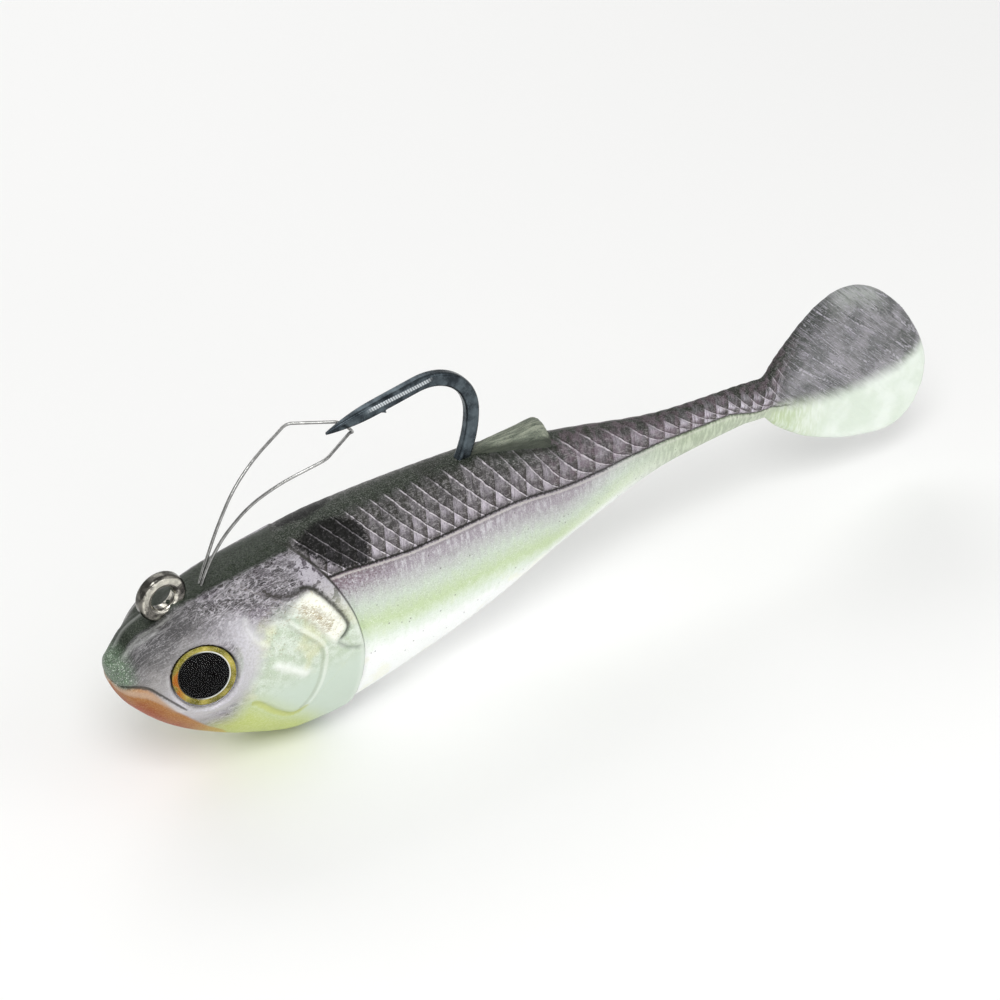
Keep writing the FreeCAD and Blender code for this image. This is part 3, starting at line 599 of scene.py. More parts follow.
class Paint:
    """Builds one node material. Every helper returns an output socket, and takes sockets or plain values."""

    def __init__(self, name):
        self.material = bpy.data.materials.new(name)
        self.material.use_nodes = True
        self.tree = self.material.node_tree
        self.tree.nodes.clear()

    def node(self, kind, settings=(), **inputs):
        made = self.tree.nodes.new(kind)
        for key, value in dict(settings).items():
            setattr(made, key, value)
        for key, value in inputs.items():
            self.put(made.inputs[key.replace("_", " ")], value)
        return made

    def put(self, socket, value):
        if isinstance(value, bpy.types.NodeSocket):
            self.tree.links.new(value, socket)
        else:
            socket.default_value = value

    def attribute(self, name, field="Fac"):
        return self.node("ShaderNodeAttribute", {"attribute_name": name}).outputs[field]

    def math(self, operation, *values):
        made = self.node("ShaderNodeMath", {"operation": operation})
        for socket, value in zip(made.inputs, values):
            self.put(socket, value)
        return made.outputs[0]

    def times(self, first, *others):
        for other in others:
            first = self.math("MULTIPLY", first, other)
        return first

    def plus(self, a, b):
        return self.math("ADD", a, b)

    def minus(self, a, b):
        return self.math("SUBTRACT", a, b)

    def absolute(self, a):
        return self.math("ABSOLUTE", a)

    def linear(self, a, slope, start):
        """a times slope, plus start."""
        return self.math("MULTIPLY_ADD", a, slope, start)

    def length(self, a, b):
        return self.math("SQRT", self.plus(self.times(a, a), self.times(b, b)))

    def step(self, value, low, high, to_low=0.0, to_high=1.0):
        made = self.node("ShaderNodeMapRange", {"interpolation_type": "SMOOTHSTEP"})
        for key, v in zip(("Value", "From Min", "From Max", "To Min", "To Max"), (value, low, high, to_low, to_high)):
            self.put(made.inputs[key], v)
        return made.outputs[0]

    def mix(self, factor, a, b, blend="MIX"):
        """From a to b. A tone of three values is an everyday colour."""
        made = self.node("ShaderNodeMix", {"data_type": "RGBA", "blend_type": blend, "clamp_result": blend != "MIX"})
        self.put(made.inputs[0], factor)
        for socket, tone in ((made.inputs[6], a), (made.inputs[7], b)):
            self.put(socket, colour(*tone) if isinstance(tone, tuple) and len(tone) == 3 else tone)
        return made.outputs[2]

    def over(self, under, tone, *masks):
        """Lays a tone over what is there, where all the masks let it through."""
        return self.mix(self.times(*masks), under, tone)

    def layers(self, under, layers):
        """Lays several tones in turn. Each layer is its tone and then its masks."""
        for tone, *masks in layers:
            under = self.over(under, tone, *masks)
        return under

    def ramp(self, value, stops):
        made = self.node("ShaderNodeValToRGB", Fac=value)
        ramp = made.color_ramp
        for k, (place, *tone) in enumerate(stops):
            element = ramp.elements[k] if k < 2 else ramp.elements.new(place)
            element.position, element.color = place, colour(*tone)
        return made.outputs[0]

    def place(self, vector, scale, turn=0.0):
        """A vector stretched by scale and turned about z."""
        made = self.node("ShaderNodeMapping", Vector=vector)
        made.inputs["Scale"].default_value = scale
        made.inputs["Rotation"].default_value = (0, 0, turn)
        return made.outputs[0]

    def noise(self, vector, scale, detail=2.0, rough=0.5, twist=0.0):
        return self.node("ShaderNodeTexNoise", Vector=vector, Scale=scale, Detail=detail, Roughness=rough,
                         Distortion=twist).outputs["Fac"]

    def parts(self, vector):
        return self.node("ShaderNodeSeparateXYZ", Vector=vector).outputs

    def vector(self, x, y, z):
        return self.node("ShaderNodeCombineXYZ", X=x, Y=y, Z=z).outputs[0]

    def millimetres(self):
        """Place on the piece itself, for a piece without a rest attribute."""
        return self.place(self.node("ShaderNodeTexCoord").outputs["Object"], (1000, 1000, 1000))

    def scratches(self, vector, scale, width, turn=0.0, stretch=(0.16, 1.0, 1.0), detail=1.5):
        """Thin lines where a stretched noise crosses its middle."""
        n = self.noise(self.place(vector, stretch, turn), scale, detail)
        return self.step(self.absolute(self.minus(n, 0.5)), 0, width, 1, 0)

    def bump(self, height, distance, strength=1.0, **normal):
        return self.node("ShaderNodeBump", Height=height, Distance=distance * MM, Strength=strength,
                         **normal).outputs[0]

    def finish(self, base, roughness, normal=None, metallic=0.0, coat=0.0, coat_roughness=0.1, **more):
        if normal is not None:
            more["Normal"] = normal
        shader = self.node("ShaderNodeBsdfPrincipled", Base_Color=base, Roughness=roughness, Metallic=metallic,
                           Coat_Weight=coat, Coat_Roughness=coat_roughness, **more)
        self.node("ShaderNodeOutputMaterial", Surface=shader.outputs[0])
        return self.material


def make_skin_material():
    p = Paint("painted_soft_plastic")
    rest, chart = p.attribute("rest", "Vector"), p.attribute("chart", "Vector")
    below, ahead, down, head, scaled, paddle, light, shade = map(p.attribute, (
        "below", "ahead", "down", "head", "scaled", "paddle", "light", "shade"))
    eye, jaw, cheek, brow, mouth = map(p.attribute, ("from_eye", "jaw", "cheek", "brow", "lip"))
    place = p.parts(rest)
    x = place[0]
    broad = p.noise(rest, 0.22, 3)
    middle = p.noise(rest, 0.9, 3)
    fine = p.noise(rest, 3.4, 4, 0.65)
    grain = p.noise(rest, 6, 2, 0.7)
    near_side = p.step(p.parts(chart)[1], -0.3, 0.1)
    jitter = p.linear(middle, 2, -1)
    fine_jitter = p.linear(fine, 2, -1)
    bright_grain, dark_grain = p.step(grain, 0.53, 0.7), p.step(grain, 0.46, 0.3)

    def ragged(mask, amount, low, high):
        """A mask whose edge is broken up by the grain."""
        return p.step(p.linear(fine_jitter, amount, mask), low, high)

    def grained(tone, light, light_share, dark, dark_share):
        """Grain of both kinds over a tone."""
        return p.layers(tone, [(light, bright_grain, light_share), (dark, dark_grain, dark_share)])

    def stroke(signed, half, soft, wobble=0.12, offset=0.0):
        """A line along a signed distance of zero, or beside it."""
        gap = p.minus(p.linear(fine_jitter, wobble, signed), offset)
        return p.step(p.absolute(gap), half + soft, half)

    # flank and belly, by distance under the lateral line
    streak = p.noise(p.place(chart, (1.9, 0.45, 1)), 1, 3, 0.6)
    depth = p.linear(jitter, 1, below)
    depth = p.linear(p.minus(streak, 0.5), 1.8, depth)
    depth = p.linear(p.step(x, 54, 70), 4, depth)
    flank = p.ramp(p.math("DIVIDE", depth, 20), [
        (0, 146, 138, 146), (0.09, 160, 153, 160), (0.17, 184, 186, 184), (0.26, 196, 207, 192),
        (0.4, 192, 210, 166), (0.52, 222, 232, 218), (0.64, 248, 250, 249)])
    teeth = p.times(p.step(streak, 0.48, 0.62), p.step(below, 3.8, 1.2), p.step(below, 0.3, 1))
    flank = p.over(flank, (222, 222, 226), teeth, p.step(x, 74, 34, 0.2, 0.45))
    yellow = p.times(p.step(broad, 0.54, 0.66), p.step(below, 8, 12))
    flank = p.layers(flank, [
        ((240, 240, 205), yellow, 0.3),
        # white belly near the keel, pushed brighter still as a painted reflection
        ((248, 250, 250), p.step(p.attribute("keel_gap"), 8, 2), 0.85)])
    flank = grained(flank, (244, 246, 246), 0.4, (124, 120, 118), p.step(below, 12, 1, 0.16, 0.5))
    stem_belly = p.mix(p.step(streak, 0.42, 0.62), (148, 162, 130), (186, 198, 170))
    flank = p.over(flank, stem_belly, p.step(x, 64, 78), 0.8)
    # mottled patch behind the gill
    mottle = p.times(p.step(below, 4.4, 0.6), p.step(x, 32, 23))
    flank = p.layers(flank, [
        ((112, 90, 100), mottle, p.step(fine, 0.4, 0.6, 0, 0.8)),
        ((62, 46, 52), mottle, dark_grain, 0.8)])
    # fine dark specks
    cells = p.node("ShaderNodeTexVoronoi", Vector=rest, Scale=0.85)
    speck = p.times(p.step(cells.outputs["Distance"], 0.13, 0.07), p.step(cells.outputs["Color"], 0.55, 0.6))
    flank = p.over(flank, (70, 66, 60), speck, 0.6)

    # scales: back rows cross fore rows; each cell has a painted highlight behind its fore edge and under its back
    # edge, and painted shade towards its next fore edge, as if light fell on its tilt
    wander = p.linear(middle, 0.2, -0.1)
    back_row, fore_row = p.plus(p.attribute("back_row"), wander), p.plus(p.attribute("fore_row"), wander)
    back_part, fore_part = p.math("FRACT", back_row), p.math("FRACT", fore_row)
    lattice = p.vector(p.times(fore_row, 7), p.times(back_row, 0.9), 0)
    hair = p.noise(lattice, 1, 4, 0.7)
    tick = p.noise(chart, 1.6, 3)
    near = p.step(below, -5.2, -0.8, 0.12, 1)
    upper = p.times(p.step(down, 0.4, 1.9), p.plus(p.times(near_side, 0.8), 0.2))
    tone = p.ramp(p.step(below, -9.5, -0.5), [(0, 50, 55, 48), (0.35, 60, 60, 56), (0.7, 70, 68, 68), (1, 88, 83, 86)])
    tone = p.layers(tone, [
        ((146, 139, 146), p.step(hair, 0.5, 0.68), p.step(below, -9, -2, 0.1, 0.4)),
        ((48, 50, 42), p.step(hair, 0.48, 0.32, 0, 0.5))])
    # painted highlight on each cell, strongest near the lateral line
    sheen = p.times(p.step(fore_part, 0.95, 0.05), p.step(back_part, 0, 0.85, 0.25, 1))
    sheen = p.times(sheen, near, p.step(hair, 0.34, 0.58, 0.35, 1))
    sheen = p.times(sheen, p.step(p.minus(back_part, fore_part), -0.3, 0.3, 0.15, 1))
    dull = p.times(p.step(x, 50, 57), p.step(x, 74, 68))
    tone = p.over(tone, (218, 210, 222), sheen, p.linear(dull, -0.4, 1))
    # painted glints on the cells of the tail stem
    glint = p.times(sheen, p.step(x, 74, 82), p.step(hair, 0.42, 0.52))
    tone = p.over(tone, (238, 234, 246), glint)
    # a soft painted highlight under each back line, and painted shade towards each cell's next fore edge
    soft_highlight = p.times(p.step(back_part, 0.45, 0.92), upper, p.step(hair, 0.38, 0.62, 0.1, 0.5))
    tone = p.layers(tone, [
        ((138, 132, 138), soft_highlight),
        ((58, 54, 46), p.step(fore_part, 0.62, 0.98), near, 0.6)])
    # a sharp painted highlight just under each back line
    under = p.times(p.step(back_part, 0.84, 0.91), p.step(back_part, 0.985, 0.955))
    tone = p.over(tone, (216, 210, 216), under, upper, p.step(tick, 0.38, 0.56, 0.3, 1))
    back_line = p.step(p.absolute(p.minus(back_part, 0.5)), 0.466, 0.488)
    fore_line = p.step(p.absolute(p.minus(fore_part, 0.5)), 0.46, 0.49)
    tone = p.layers(tone, [
        ((36, 34, 34), back_line, upper, 0.75),
        ((44, 40, 40), fore_line, near, 0.65)])
    # green back, and the dark rims of the tail stem
    band = p.step(p.linear(jitter, 1, down), p.step(near_side, 0, 1, 6, 2.5), 0.5)
    tone = p.over(tone, (34, 38, 32), p.step(down, 1.7, 0.4), p.step(x, 64, 74, 0, 0.75))
    back_green = p.mix(p.step(grain, 0.35, 0.68), (24, 32, 22), (66, 74, 62))
    tone = p.over(tone, back_green, band, p.step(x, 62, 48, 0.5, 0.92))
    beside_fin = p.times(p.step(down, 5, 2.4), p.step(x, 45, 49), p.step(x, 59, 56))
    tone = p.over(tone, (44, 56, 44), beside_fin, 0.55)
    cloud = p.times(p.step(broad, 0.5, 0.62), p.step(x, 46, 38), p.step(below, -2.5, -4.5))
    tone = p.over(tone, (34, 36, 30), cloud, 0.5)
    purple = p.times(p.step(x, 50, 58), p.step(middle, 0.42, 0.62))
    tone = p.over(tone, (134, 112, 126), purple, 0.3)
    blotch = p.times(ragged(p.attribute("blotch"), 1.1, 0.2, 0.9), p.step(back_part, 0.86, 0.93, 1, 0.8))
    tone = p.over(tone, (12, 13, 11), blotch, 0.95)
    clear = p.linear(blotch, -0.85, 1)
    # scratches and grain over all of the dark plastic
    for turn, scale in ((0.9, 1.5), (-0.35, 1.9), (2.0, 1.3)):
        mark = p.times(p.scratches(chart, scale, 0.05, turn, (0.6, 2.4, 1)), p.step(tick, 0.46, 0.56))
        mark = p.times(mark, p.linear(blotch, -0.88, 1))
        tone = p.over(tone, (178, 175, 176), mark, p.step(down, 1, 3, 0.05, 0.3))
    tone = grained(tone, (164, 160, 162), p.times(clear, 0.3), (26, 27, 23), p.times(clear, 0.55))

    # paddle: fine streaks that run down and back
    across = p.times(p.plus(place[0], place[2]), 0.707)
    length = p.times(p.minus(place[0], place[2]), 0.707)
    lay = p.vector(across, p.times(length, 0.1), 0)
    streaky = p.noise(lay, 1.5, 5, 0.6)
    hairline = p.noise(lay, 6.5, 3, 0.7)
    web = p.mix(p.step(broad, 0.4, 0.6), (112, 113, 114), (142, 141, 144))
    rim = p.linear(jitter, 1, down)
    web = p.layers(web, [
        ((58, 62, 58), p.step(rim, 9, 1), p.step(x, 107, 98, 0, 0.9)),
        ((156, 160, 156), p.step(rim, 5, 1), p.step(x, 100, 104), p.step(x, 112, 108)),
        ((98, 100, 98), p.step(x, 108, 115), p.step(broad, 0.6, 0.45)),
        ((164, 159, 170), p.step(streaky, 0.5, 0.7, 0, 0.45)),
        ((80, 83, 80), p.step(streaky, 0.5, 0.32, 0, 0.5)),
        ((190, 187, 196), p.step(hairline, 0.54, 0.66, 0, 0.5)),
        ((60, 61, 60), p.step(hairline, 0.46, 0.34, 0, 0.5))])
    thread = p.vector(across, p.times(length, 0.045), 3)
    gap = p.minus(p.noise(thread, 1.4, 0), 0.5)
    shown = p.step(tick, 0.44, 0.54)
    web = p.layers(web, [
        ((204, 200, 210), p.step(p.absolute(gap), 0.03, 0.008), shown, 0.5),
        ((58, 60, 60), p.step(p.absolute(p.plus(gap, 0.05)), 0.035, 0.01), shown, 0.5),
        ((188, 186, 192), bright_grain, 0.28)])
    pale = p.mix(p.step(broad, 0.35, 0.65), (216, 226, 213), (230, 237, 229))
    root = p.times(p.step(x, 104, 92), p.step(streak, 0.4, 0.6, 0.35, 0.9))
    pale = p.over(pale, (180, 196, 152), root)
    edge_soft = p.plus(below, p.times(p.minus(streaky, 0.5), 1.2))
    fin_tone = p.mix(p.step(edge_soft, -1.7, 1.5), web, pale)

    body_tone = p.mix(p.step(p.linear(fine_jitter, 0.12, below), -0.06, 0.06), tone, flank)
    # lateral line: a dark cut, painted shadow in its groove, with a pale lip under it painted as highlight on the fine
    # ridge, and a grey band under that
    on_body = p.times(p.minus(1, head), p.step(x, 97, 93))
    lip = p.times(stroke(below, 0.04, 0.16, 0.25, 0.4), p.step(x, 90, 40, 0.25, 0.6))
    body_tone = p.over(body_tone, (204, 200, 194), lip, on_body)
    lip = p.times(stroke(below, 0.06, 0.16, 0.25, 0.74), p.step(x, 64, 40, 0, 0.3))
    body_tone = p.over(body_tone, (112, 108, 108), lip, on_body)
    body_tone = p.mix(paddle, body_tone, fin_tone)
    # painted shadow in the groove of the lateral line
    lateral_shadow = p.times(stroke(below, 0.07, 0.2, 0.3), p.step(x, 94, 30, 0.6, 0.95))
    body_tone = p.over(body_tone, (34, 34, 30), lateral_shadow, on_body)

    # head: green crown, scratched foil, silver round the eye, mint cheek and gill cover
    sway = p.node("ShaderNodeTexNoise", Vector=chart, Scale=0.8, Detail=3).outputs["Color"]
    bent = p.mix(0.5, p.place(chart, (1, 2.4, 1), 0.6), sway)
    bent = p.mix(1, bent, sway, "ADD")
    tilt = p.node("ShaderNodeTexVoronoi", Vector=bent, Scale=1.2).outputs["Color"]
    edge = p.node("ShaderNodeTexVoronoi", {"feature": "DISTANCE_TO_EDGE"}, Vector=bent, Scale=1.2).outputs["Distance"]
    crinkle = p.plus(p.times(p.noise(p.place(chart, (0.55, 1.5, 1), 0.6), 1.7, 3, 0.6, 1), 0.7), p.times(tilt, 0.3))
    fall = p.linear(jitter, 1.3, down)
    foil = p.ramp(p.step(fall, 1.5, 12), [
        (0, 50, 52, 48), (0.3, 78, 75, 76), (0.6, 114, 110, 114), (1, 156, 154, 158)])
    foil = p.layers(foil, [
        ((178, 174, 180), p.step(crinkle, 0.5, 0.68, 0, 0.6)),
        ((64, 60, 62), p.step(crinkle, 0.5, 0.34, 0, 0.7)),
        ((124, 108, 130), p.step(broad, 0.46, 0.62), 0.25),
        ((120, 100, 84), p.step(fine, 0.54, 0.68), p.step(x, 4, 12, 0.1, 0.4))])
    patch = p.times(ragged(p.attribute("patch"), 1.4, 0.2, 0.9), p.step(crinkle, 0.66, 0.48, 0.6, 0.95))
    smear = p.times(p.step(x, 3, 8), p.step(fall, 9.5, 5), p.step(crinkle, 0.6, 0.44, 0.1, 0.8))
    foil = p.over(foil, (50, 47, 48), p.math("MAXIMUM", patch, smear))
    for turn, scale in ((0.7, 1.3), (-0.5, 1.7), (1.6, 1.1), (0.2, 2.1)):
        foil = p.over(foil, (212, 208, 214), p.scratches(chart, scale, 0.022, turn, (0.35, 2.2, 1)), 0.42)
    foil = p.layers(foil, [
        ((40, 38, 38), p.scratches(chart, 1.4, 0.03, 1.1, (0.35, 2.2, 1)), 0.5),
        ((214, 210, 216), p.step(edge, 0.05, 0.015), p.step(tick, 0.44, 0.56, 0, 0.5))])
    foil = grained(foil, (200, 197, 201), 0.25, (52, 48, 48), 0.35)
    snout = p.mix(p.step(p.linear(jitter, 1.5, down), 3, 8.5), (84, 83, 84), (158, 155, 154))
    snout = grained(snout, (206, 204, 206), 0.3, (58, 56, 56), 0.35)
    snout = p.over(snout, (190, 188, 190), p.scratches(chart, 1.2, 0.05, 0.8, (0.45, 2.2, 1)), 0.3)
    mint = p.mix(p.step(middle, 0.35, 0.65), (184, 198, 176), (206, 216, 202))
    mint = p.layers(mint, [
        ((212, 210, 160), p.step(broad, 0.5, 0.66), 0.45),
        ((240, 244, 240), bright_grain, 0.45),
        ((152, 132, 92), p.step(fine, 0.56, 0.68), p.step(down, 19, 11, 0, 0.6)),
        ((138, 130, 118), dark_grain, p.step(down, 21, 11, 0.12, 0.5))])
    cheek_edge = p.plus(fall, p.times(x, 0.1))
    to_mint = p.times(p.step(x, 4, 9), p.step(cheek_edge, 8.6, 12.2))
    face = p.mix(p.step(p.plus(x, jitter), 0, 4.5), snout, foil)
    face = p.mix(to_mint, face, mint)
    ring = p.times(p.step(eye, 3.6, 4.2), p.step(p.plus(eye, jitter), 8, 5.4))
    glow = p.mix(p.step(fine, 0.35, 0.65), (186, 183, 187), (206, 204, 211))
    face = p.over(face, glow, ring, p.step(p.plus(down, p.times(x, 0.5)), 5, 14, 0.1, 0.9))
    # band of foil along the gill edge, above the plate
    gill_band = p.times(p.step(p.plus(ahead, jitter), 4.2, 1.6), p.step(down, 15, 9))
    bright_foil = p.mix(p.step(crinkle, 0.42, 0.6), (84, 78, 86), (184, 180, 188))
    bright_foil = p.over(bright_foil, (70, 60, 66), dark_grain, 0.75)
    gill_band = p.times(gill_band, p.linear(patch, -0.8, 1))
    face = p.over(face, bright_foil, gill_band, p.step(down, 2, 5, 0, 0.8))
    # gill plate
    plate = p.attribute("plate")
    shine = p.mix(p.step(fine, 0.54, 0.68, 0, 0.6), (242, 243, 232), (190, 178, 122))
    shine = p.over(shine, (186, 184, 176), p.step(crinkle, 0.56, 0.4, 0, 0.3))
    face = p.over(face, shine, plate, p.step(x, 13.6, 16, 0.4, 0.92))
    rust = p.times(stroke(p.attribute("streak"), 0.3, 1.2, 0.5), p.scratches(chart, 2.6, 0.14, 0.4, (0.6, 2.4, 1)))
    face = p.layers(face, [
        ((138, 116, 66), rust, 0.7),
        ((198, 211, 198), p.step(down, 16.5, 21), p.step(x, 4, 11))])
    # yellow throat and orange jaw
    yellow = p.mix(p.step(fine, 0.4, 0.65), (184, 196, 84), (200, 208, 124))
    face = p.layers(face, [
        (yellow, p.attribute("throat"), 0.8),
        ((188, 194, 88), stroke(p.attribute("crease"), 0.1, 0.5, 0.2), 0.55)])
    inward = p.linear(jitter, 0.8, p.attribute("orange"))
    orange = p.ramp(p.step(inward, 0, 6), [
        (0, 166, 116, 62), (0.2, 146, 70, 20), (0.55, 160, 46, 12), (1, 168, 34, 12)])
    orange = p.over(orange, (190, 176, 80), p.step(x, 0.5, 6), 0.8)
    orange = grained(orange, (226, 184, 142), 0.35, (112, 42, 24), 0.4)
    face = p.mix(ragged(jaw, 0.15, 0.2, 0.8), face, orange)
    # crown, with a thin bright edge along the snout
    limit = p.mix(near_side, (4.4, 4.4, 4.4, 1), p.step(x, -4, 12, 0.7, 2.2))
    side = p.minus(p.linear(jitter, 0.35, down), limit)
    face = p.over(face, back_green, p.step(side, 0.5, -0.4), 0.94)
    ridge = p.times(p.step(p.absolute(p.minus(side, 0.5)), 0.34, 0.1), p.step(x, 1.5, -1))
    face = p.over(face, (196, 200, 192), ridge, 0.22)
    tip = p.times(p.step(x, -5.2, -7), p.step(down, 9, 5), p.minus(1, jaw))
    flecks = p.mix(bright_grain, (104, 124, 102), (214, 226, 212))
    face = p.over(face, flecks, tip, p.step(fine, 0.42, 0.6, 0.55, 1))
    # lines drawn by the mould and the paint; the bright cheek line is a painted highlight along the cheek ridge, with
    # a darker line beside it
    face = p.layers(face, [
        ((236, 240, 230), stroke(cheek, 0.08, 0.3), p.step(down, 26, 22, 0.1, 0.35)),
        ((140, 148, 122), stroke(cheek, 0.05, 0.3, 0.1, 0.5), 0.3)])
    dark_part = p.step(down, 17, 8, 0.45, 0.85)
    thick = p.step(x, 18.6, 13)
    face = p.layers(face, [
        ((60, 58, 52), stroke(brow, 0.06, 0.34, 0.35), dark_part, p.step(tick, 0.36, 0.52, 0.35, 0.9)),
        ((52, 48, 48), stroke(brow, 0.08, 0.7, 0.9), thick, 0.45),
        ((222, 216, 208), stroke(mouth, 0.1, 0.35, 0.15, 0.55), 0.3),
        ((52, 50, 44), stroke(mouth, 0.06, 0.16), p.step(x, 1.5, -2.5, 0.35, 0.8))])

    skin = p.mix(head, body_tone, face)
    # painted shadow under the lip of the gill cover, along its edge
    gill_edge_shadow = p.times(stroke(ahead, 0.09, 0.22, 0.1, -0.16), p.step(down, 1.5, 4, 0.2, 0.85))
    gill_edge_shadow = p.times(gill_edge_shadow, p.step(down, 34, 26, 0.1, 1))
    # then the painted highlight on ridges and the gill lip, and painted shade in grooves and the fin crease
    skin = p.layers(skin, [
        ((46, 46, 40), gill_edge_shadow),
        ((244, 246, 242), p.math("MINIMUM", light, 1), 0.65),
        ((40, 42, 36), p.math("MINIMUM", shade, 1), 0.78)])

    row_height = p.plus(p.times(back_part, 0.65), p.times(p.minus(1, fore_part), 0.35))
    sunk = p.math("MAXIMUM", back_line, p.times(fore_line, 0.6))
    normal = p.bump(p.times(p.minus(row_height, p.times(sunk, 0.5)), scaled, upper), 0.16)
    normal = p.bump(p.plus(p.times(crinkle, 0.6), p.times(fine, 0.4)), 0.12, 0.8, Normal=normal)
    normal = p.bump(p.times(grain, p.step(below, 5, -1, 0.35, 1)), 0.045, 0.8, Normal=normal)
    pearly = p.times(p.step(below, 6, -2, 0.08, 0.22), p.step(x, 4, 20, 1.4, 1))
    gloss = p.plus(p.times(fine, 0.16), p.step(below, 3, -1, 0.28, 0.36))
    return p.finish(skin, gloss, normal, metallic=pearly, coat=0.03, coat_roughness=0.16, Specular_IOR_Level=0.1,
                    Subsurface_Weight=0.08, Subsurface_Scale=0.0012, Subsurface_Radius=(1, 0.95, 0.8))


def make_fin_material():
    p = Paint("olive_soft_plastic")
    rest = p.attribute("rest", "Vector")
    across, height = p.attribute("across"), p.attribute("height")
    lay = p.vector(p.times(p.parts(rest)[0], 0.25), p.times(across, 6), 0)
    ribs = p.noise(lay, 1.6, 4, 0.65)
    grain = p.noise(rest, 7, 4, 0.75)
    tone = p.mix(p.step(ribs, 0.36, 0.64), (94, 102, 90), (154, 160, 143))
    tone = p.layers(tone, [
        ((150, 153, 132), p.step(grain, 0.5, 0.64), 0.6),
        ((36, 46, 36), p.step(grain, 0.48, 0.34), 0.65)])
    line = p.scratches(lay, 1.2, 0.02, 0, (0.4, 1.6, 1))
    tone = p.layers(tone, [
        ((40, 48, 38), line, 0.6),
        ((40, 46, 36), p.step(height, 0.9, 0.2, 0, 0.85))])
    return p.finish(tone, p.step(grain, 0.3, 0.7, 0.4, 0.6), p.bump(p.plus(ribs, p.times(grain, 0.6)), 0.22),
                    coat=0.08, coat_roughness=0.25, Specular_IOR_Level=0.3)


def make_hook_material():
    p = Paint("black_nickel_steel")
    mm = p.millimetres()
    wear = p.noise(mm, 0.5, 4, 0.6)
    file_marks = p.noise(p.place(mm, (4.5, 0.3, 1.4), 0), 1, 3, 0.7)
    tone = p.mix(p.step(wear, 0.35, 0.7), (46, 52, 57), (92, 102, 108))
    tone = p.over(tone, (120, 130, 138), p.step(file_marks, 0.55, 0.72), 0.3)
    # a painted highlight strip along each side of the arm, where its flat catches the light, with fine marks across it
    place = p.parts(mm)
    middle = p.linear(place[0], 0.12, 12)
    flat_highlight = p.step(p.absolute(p.minus(place[2], middle)), 0.34, 0.22)
    flat_highlight = p.times(flat_highlight, p.step(place[0], 29.2, 30.6), p.step(place[0], 39.2, 38))
    flat_highlight = p.times(flat_highlight, p.step(p.absolute(place[1]), 0.45, 0.6))
    hatch = p.step(p.math("SINE", p.plus(p.times(place[0], 17), p.times(place[2], 9))), -0.8, 0.6, 0.35, 1)
    tone = p.over(tone, (206, 212, 216), flat_highlight, hatch)
    return p.finish(tone, p.step(wear, 0.3, 0.7, 0.2, 0.34), p.bump(file_marks, 0.02), metallic=1)


def make_nickel_material(name, tint, rough, darkening):
    """Bright wire. By the given share, patches of it are stained dark, and its outer rim is made darker too."""
    p = Paint(name)

    def shade(amount):
        return tuple(c * amount for c in tint)

    mm = p.millimetres()
    cloud = p.noise(mm, 1.4, 4, 0.6)
    draw = p.noise(p.place(mm, (1, 6, 1)), 2.2, 3, 0.6)
    tone = p.mix(p.step(cloud, 0.35, 0.7), shade(0.82), tint)
    patina = p.noise(mm, 0.62, 2, 0.5, 0.8)
    tone = p.over(tone, shade(0.32), p.step(patina, 0.5, 0.58), darkening)
    place = p.parts(mm)
    tone = p.over(tone, shade(0.28), p.step(p.length(place[0], place[2]), 2.8, 3.1), darkening)
    return p.finish(tone, p.step(draw, 0.3, 0.7, rough, rough + 0.12), p.bump(draw, 0.015), metallic=1)


def make_lead_material():
    p = Paint("cast_lead")
    mm = p.millimetres()
    cast = p.noise(mm, 0.8, 5, 0.7)
    tone = p.mix(p.step(cast, 0.3, 0.7), (92, 94, 98), (130, 132, 136))
    return p.finish(tone, p.step(cast, 0.3, 0.7, 0.45, 0.65), p.bump(cast, 0.12), metallic=0.9)


def make_eye_material():
    p = Paint("printed_eye_foil")
    local = p.attribute("local", "Vector")
    place = p.parts(local)
    radius = p.length(place[0], place[1])
    grain = p.noise(local, 6, 4, 0.7)
    drift = p.noise(local, 0.5, 2)
    gold = p.mix(p.step(drift, 0.35, 0.65), (112, 106, 34), (190, 176, 84))
    gold = p.layers(gold, [
        ((216, 206, 150), p.step(grain, 0.45, 0.7), 0.5),
        # an orange glint on one side of the gold foil, painted in
        ((176, 104, 40), p.step(place[0], 2.1, 3.5), p.step(drift, 0.4, 0.6))])
    ring = p.mix(p.step(p.linear(grain, 2, place[0]), 2.6, 0.4), (62, 60, 50), (214, 216, 210))
    tone = p.mix(p.step(radius, 3.28, 3.34), ring, gold)
    tone = p.layers(tone, [
        ((52, 48, 26), p.step(radius, 3.92, 4)),
        ((10, 11, 12), p.step(radius, 3.17, 3.13))])
    foil = p.times(p.step(radius, 3.13, 3.17), 0.55)
    return p.finish(tone, 0.35, p.bump(grain, 0.02), metallic=foil, Specular_IOR_Level=0.05)


def make_cap_material():
    p = Paint("clear_eye_cap")
    local = p.attribute("local", "Vector")
    haze = p.noise(local, 1.2, 2)
    return p.finish((1, 1, 1, 1), p.step(haze, 0.3, 0.7, 0.01, 0.04), p.bump(haze, 0.01), Transmission_Weight=1,
                    IOR=1.12)


def make_floor_material():
    p = Paint("pale_floor")
    cloud = p.noise(p.node("ShaderNodeTexCoord").outputs["Object"], 3, 2)
    return p.finish(p.mix(p.step(cloud, 0.3, 0.7), (244, 244, 243), (248, 248, 247)), 0.6)


def dress(material, *objects):
    for obj in objects:
        obj.data.materials.clear()
        obj.data.materials.append(material)


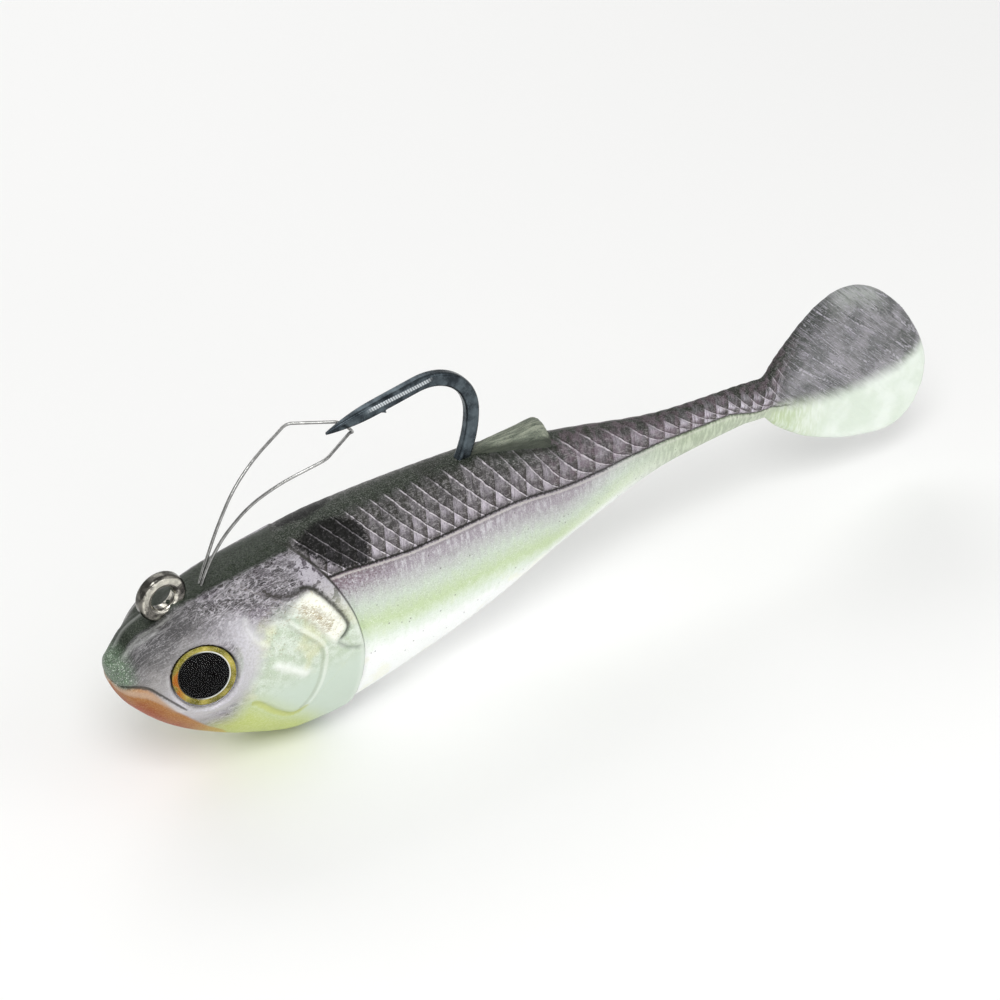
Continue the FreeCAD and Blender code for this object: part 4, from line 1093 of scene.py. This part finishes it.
plastic_skins = (skin_front, skin_stem, skin_tail)
dress(make_skin_material(), *plastic_skins)
dress(make_fin_material(), dorsal_fin)
dress(make_nickel_material("guard_wire_steel", (168, 168, 166), 0.16, 0.0), guard_wire)
eye_prints, eye_caps = zip(*eye_pieces.values())
dress(make_eye_material(), *eye_prints)
dress(make_cap_material(), *eye_caps)
cad_materials = {
    "hook": make_hook_material(), "line_tie": make_nickel_material("line_tie_nickel", (226, 222, 210), 0.10, 0.8),
    "head_weight": make_lead_material()}
for node, material in cad_materials.items():
    for material_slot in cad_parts[node].material_slots:
        material_slot.material = material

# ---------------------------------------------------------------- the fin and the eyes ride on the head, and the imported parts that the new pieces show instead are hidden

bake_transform(skin_front)
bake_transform(skin_stem)
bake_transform(skin_tail)
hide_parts("front_back", "front_belly", "rear_back", "rear_belly")
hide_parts("stem_back", "stem_belly")
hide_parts("paddle_back", "paddle_belly")
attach(dorsal_fin, "head")
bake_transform(guard_wire)
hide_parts("weed_guard", "weed_guard_root")
for eye_side, (eye_print, eye_cap) in eye_pieces.items():
    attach(eye_print, "head")
    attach(eye_cap, "head")
    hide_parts(f"{eye_side}_eye_disc")
    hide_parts(f"{eye_side}_eye_dome")

# ---------------------------------------------------------------- floor, light and camera

FLOOR_GAP = 0.4 * MM
AIM = (0.05, 0, -0.008)
# Name, place, width, depth and watts.
SOFTBOXES = [
    ("key", (-0.16, -0.30, 0.52), 0.30, 0.30, 1.9), ("fill", (0.42, -0.36, 0.30), 0.4, 0.4, 0.5),
    ("rim", (0.10, 0.46, 0.34), 0.5, 0.3, 0.8), ("low", (-0.02, -0.50, 0.05), 0.6, 0.16, 0.55)]
WORLD_STRENGTH = 0.52
AZIMUTH, ELEVATION = math.radians(-34.6), math.radians(36.7)
SHOT_CENTRE, SHOT_DISTANCE, LENS = (49.43 * MM, 0, -6.57 * MM), 0.520, 148.2


def look(obj, place, direction):
    """Puts a lamp or the camera at a place, facing a direction, and links it to the scene."""
    obj.location = place
    obj.rotation_mode = "QUATERNION"
    obj.rotation_quaternion = direction.to_track_quat("-Z", "Y")
    bpy.context.scene.collection.objects.link(obj)


def softbox(name, place, width, depth, watts):
    light = bpy.data.lights.new(name, "AREA")
    light.shape, light.size, light.size_y, light.energy = "RECTANGLE", width, depth, watts
    look(bpy.data.objects.new(name, light), place, Vector(AIM) - Vector(place))


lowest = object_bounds()[0].z
bpy.ops.mesh.primitive_plane_add(size=4, location=(AIM[0], 0, lowest - FLOOR_GAP))
floor = bpy.context.object
floor.name = "floor"
dress(make_floor_material(), floor)

for box in SOFTBOXES:
    softbox(*box)
world = bpy.data.worlds.new("studio")
world.use_nodes = True
background = world.node_tree.nodes["Background"]
background.inputs["Color"].default_value = (1, 1, 1, 1)
background.inputs["Strength"].default_value = WORLD_STRENGTH
bpy.context.scene.world = world
bpy.context.scene.view_settings.view_transform = "Standard"

side, level = math.sin(AZIMUTH) * math.cos(ELEVATION), -math.cos(AZIMUTH) * math.cos(ELEVATION)
back = Vector((side, level, math.sin(ELEVATION)))
camera = bpy.data.objects.new("camera", bpy.data.cameras.new("camera"))
look(camera, Vector(SHOT_CENTRE) + back * SHOT_DISTANCE, -back)
camera.data.sensor_width, camera.data.lens = 36, LENS
camera.data.clip_start, camera.data.clip_end = 0.01, 20
bpy.context.scene.camera = camera
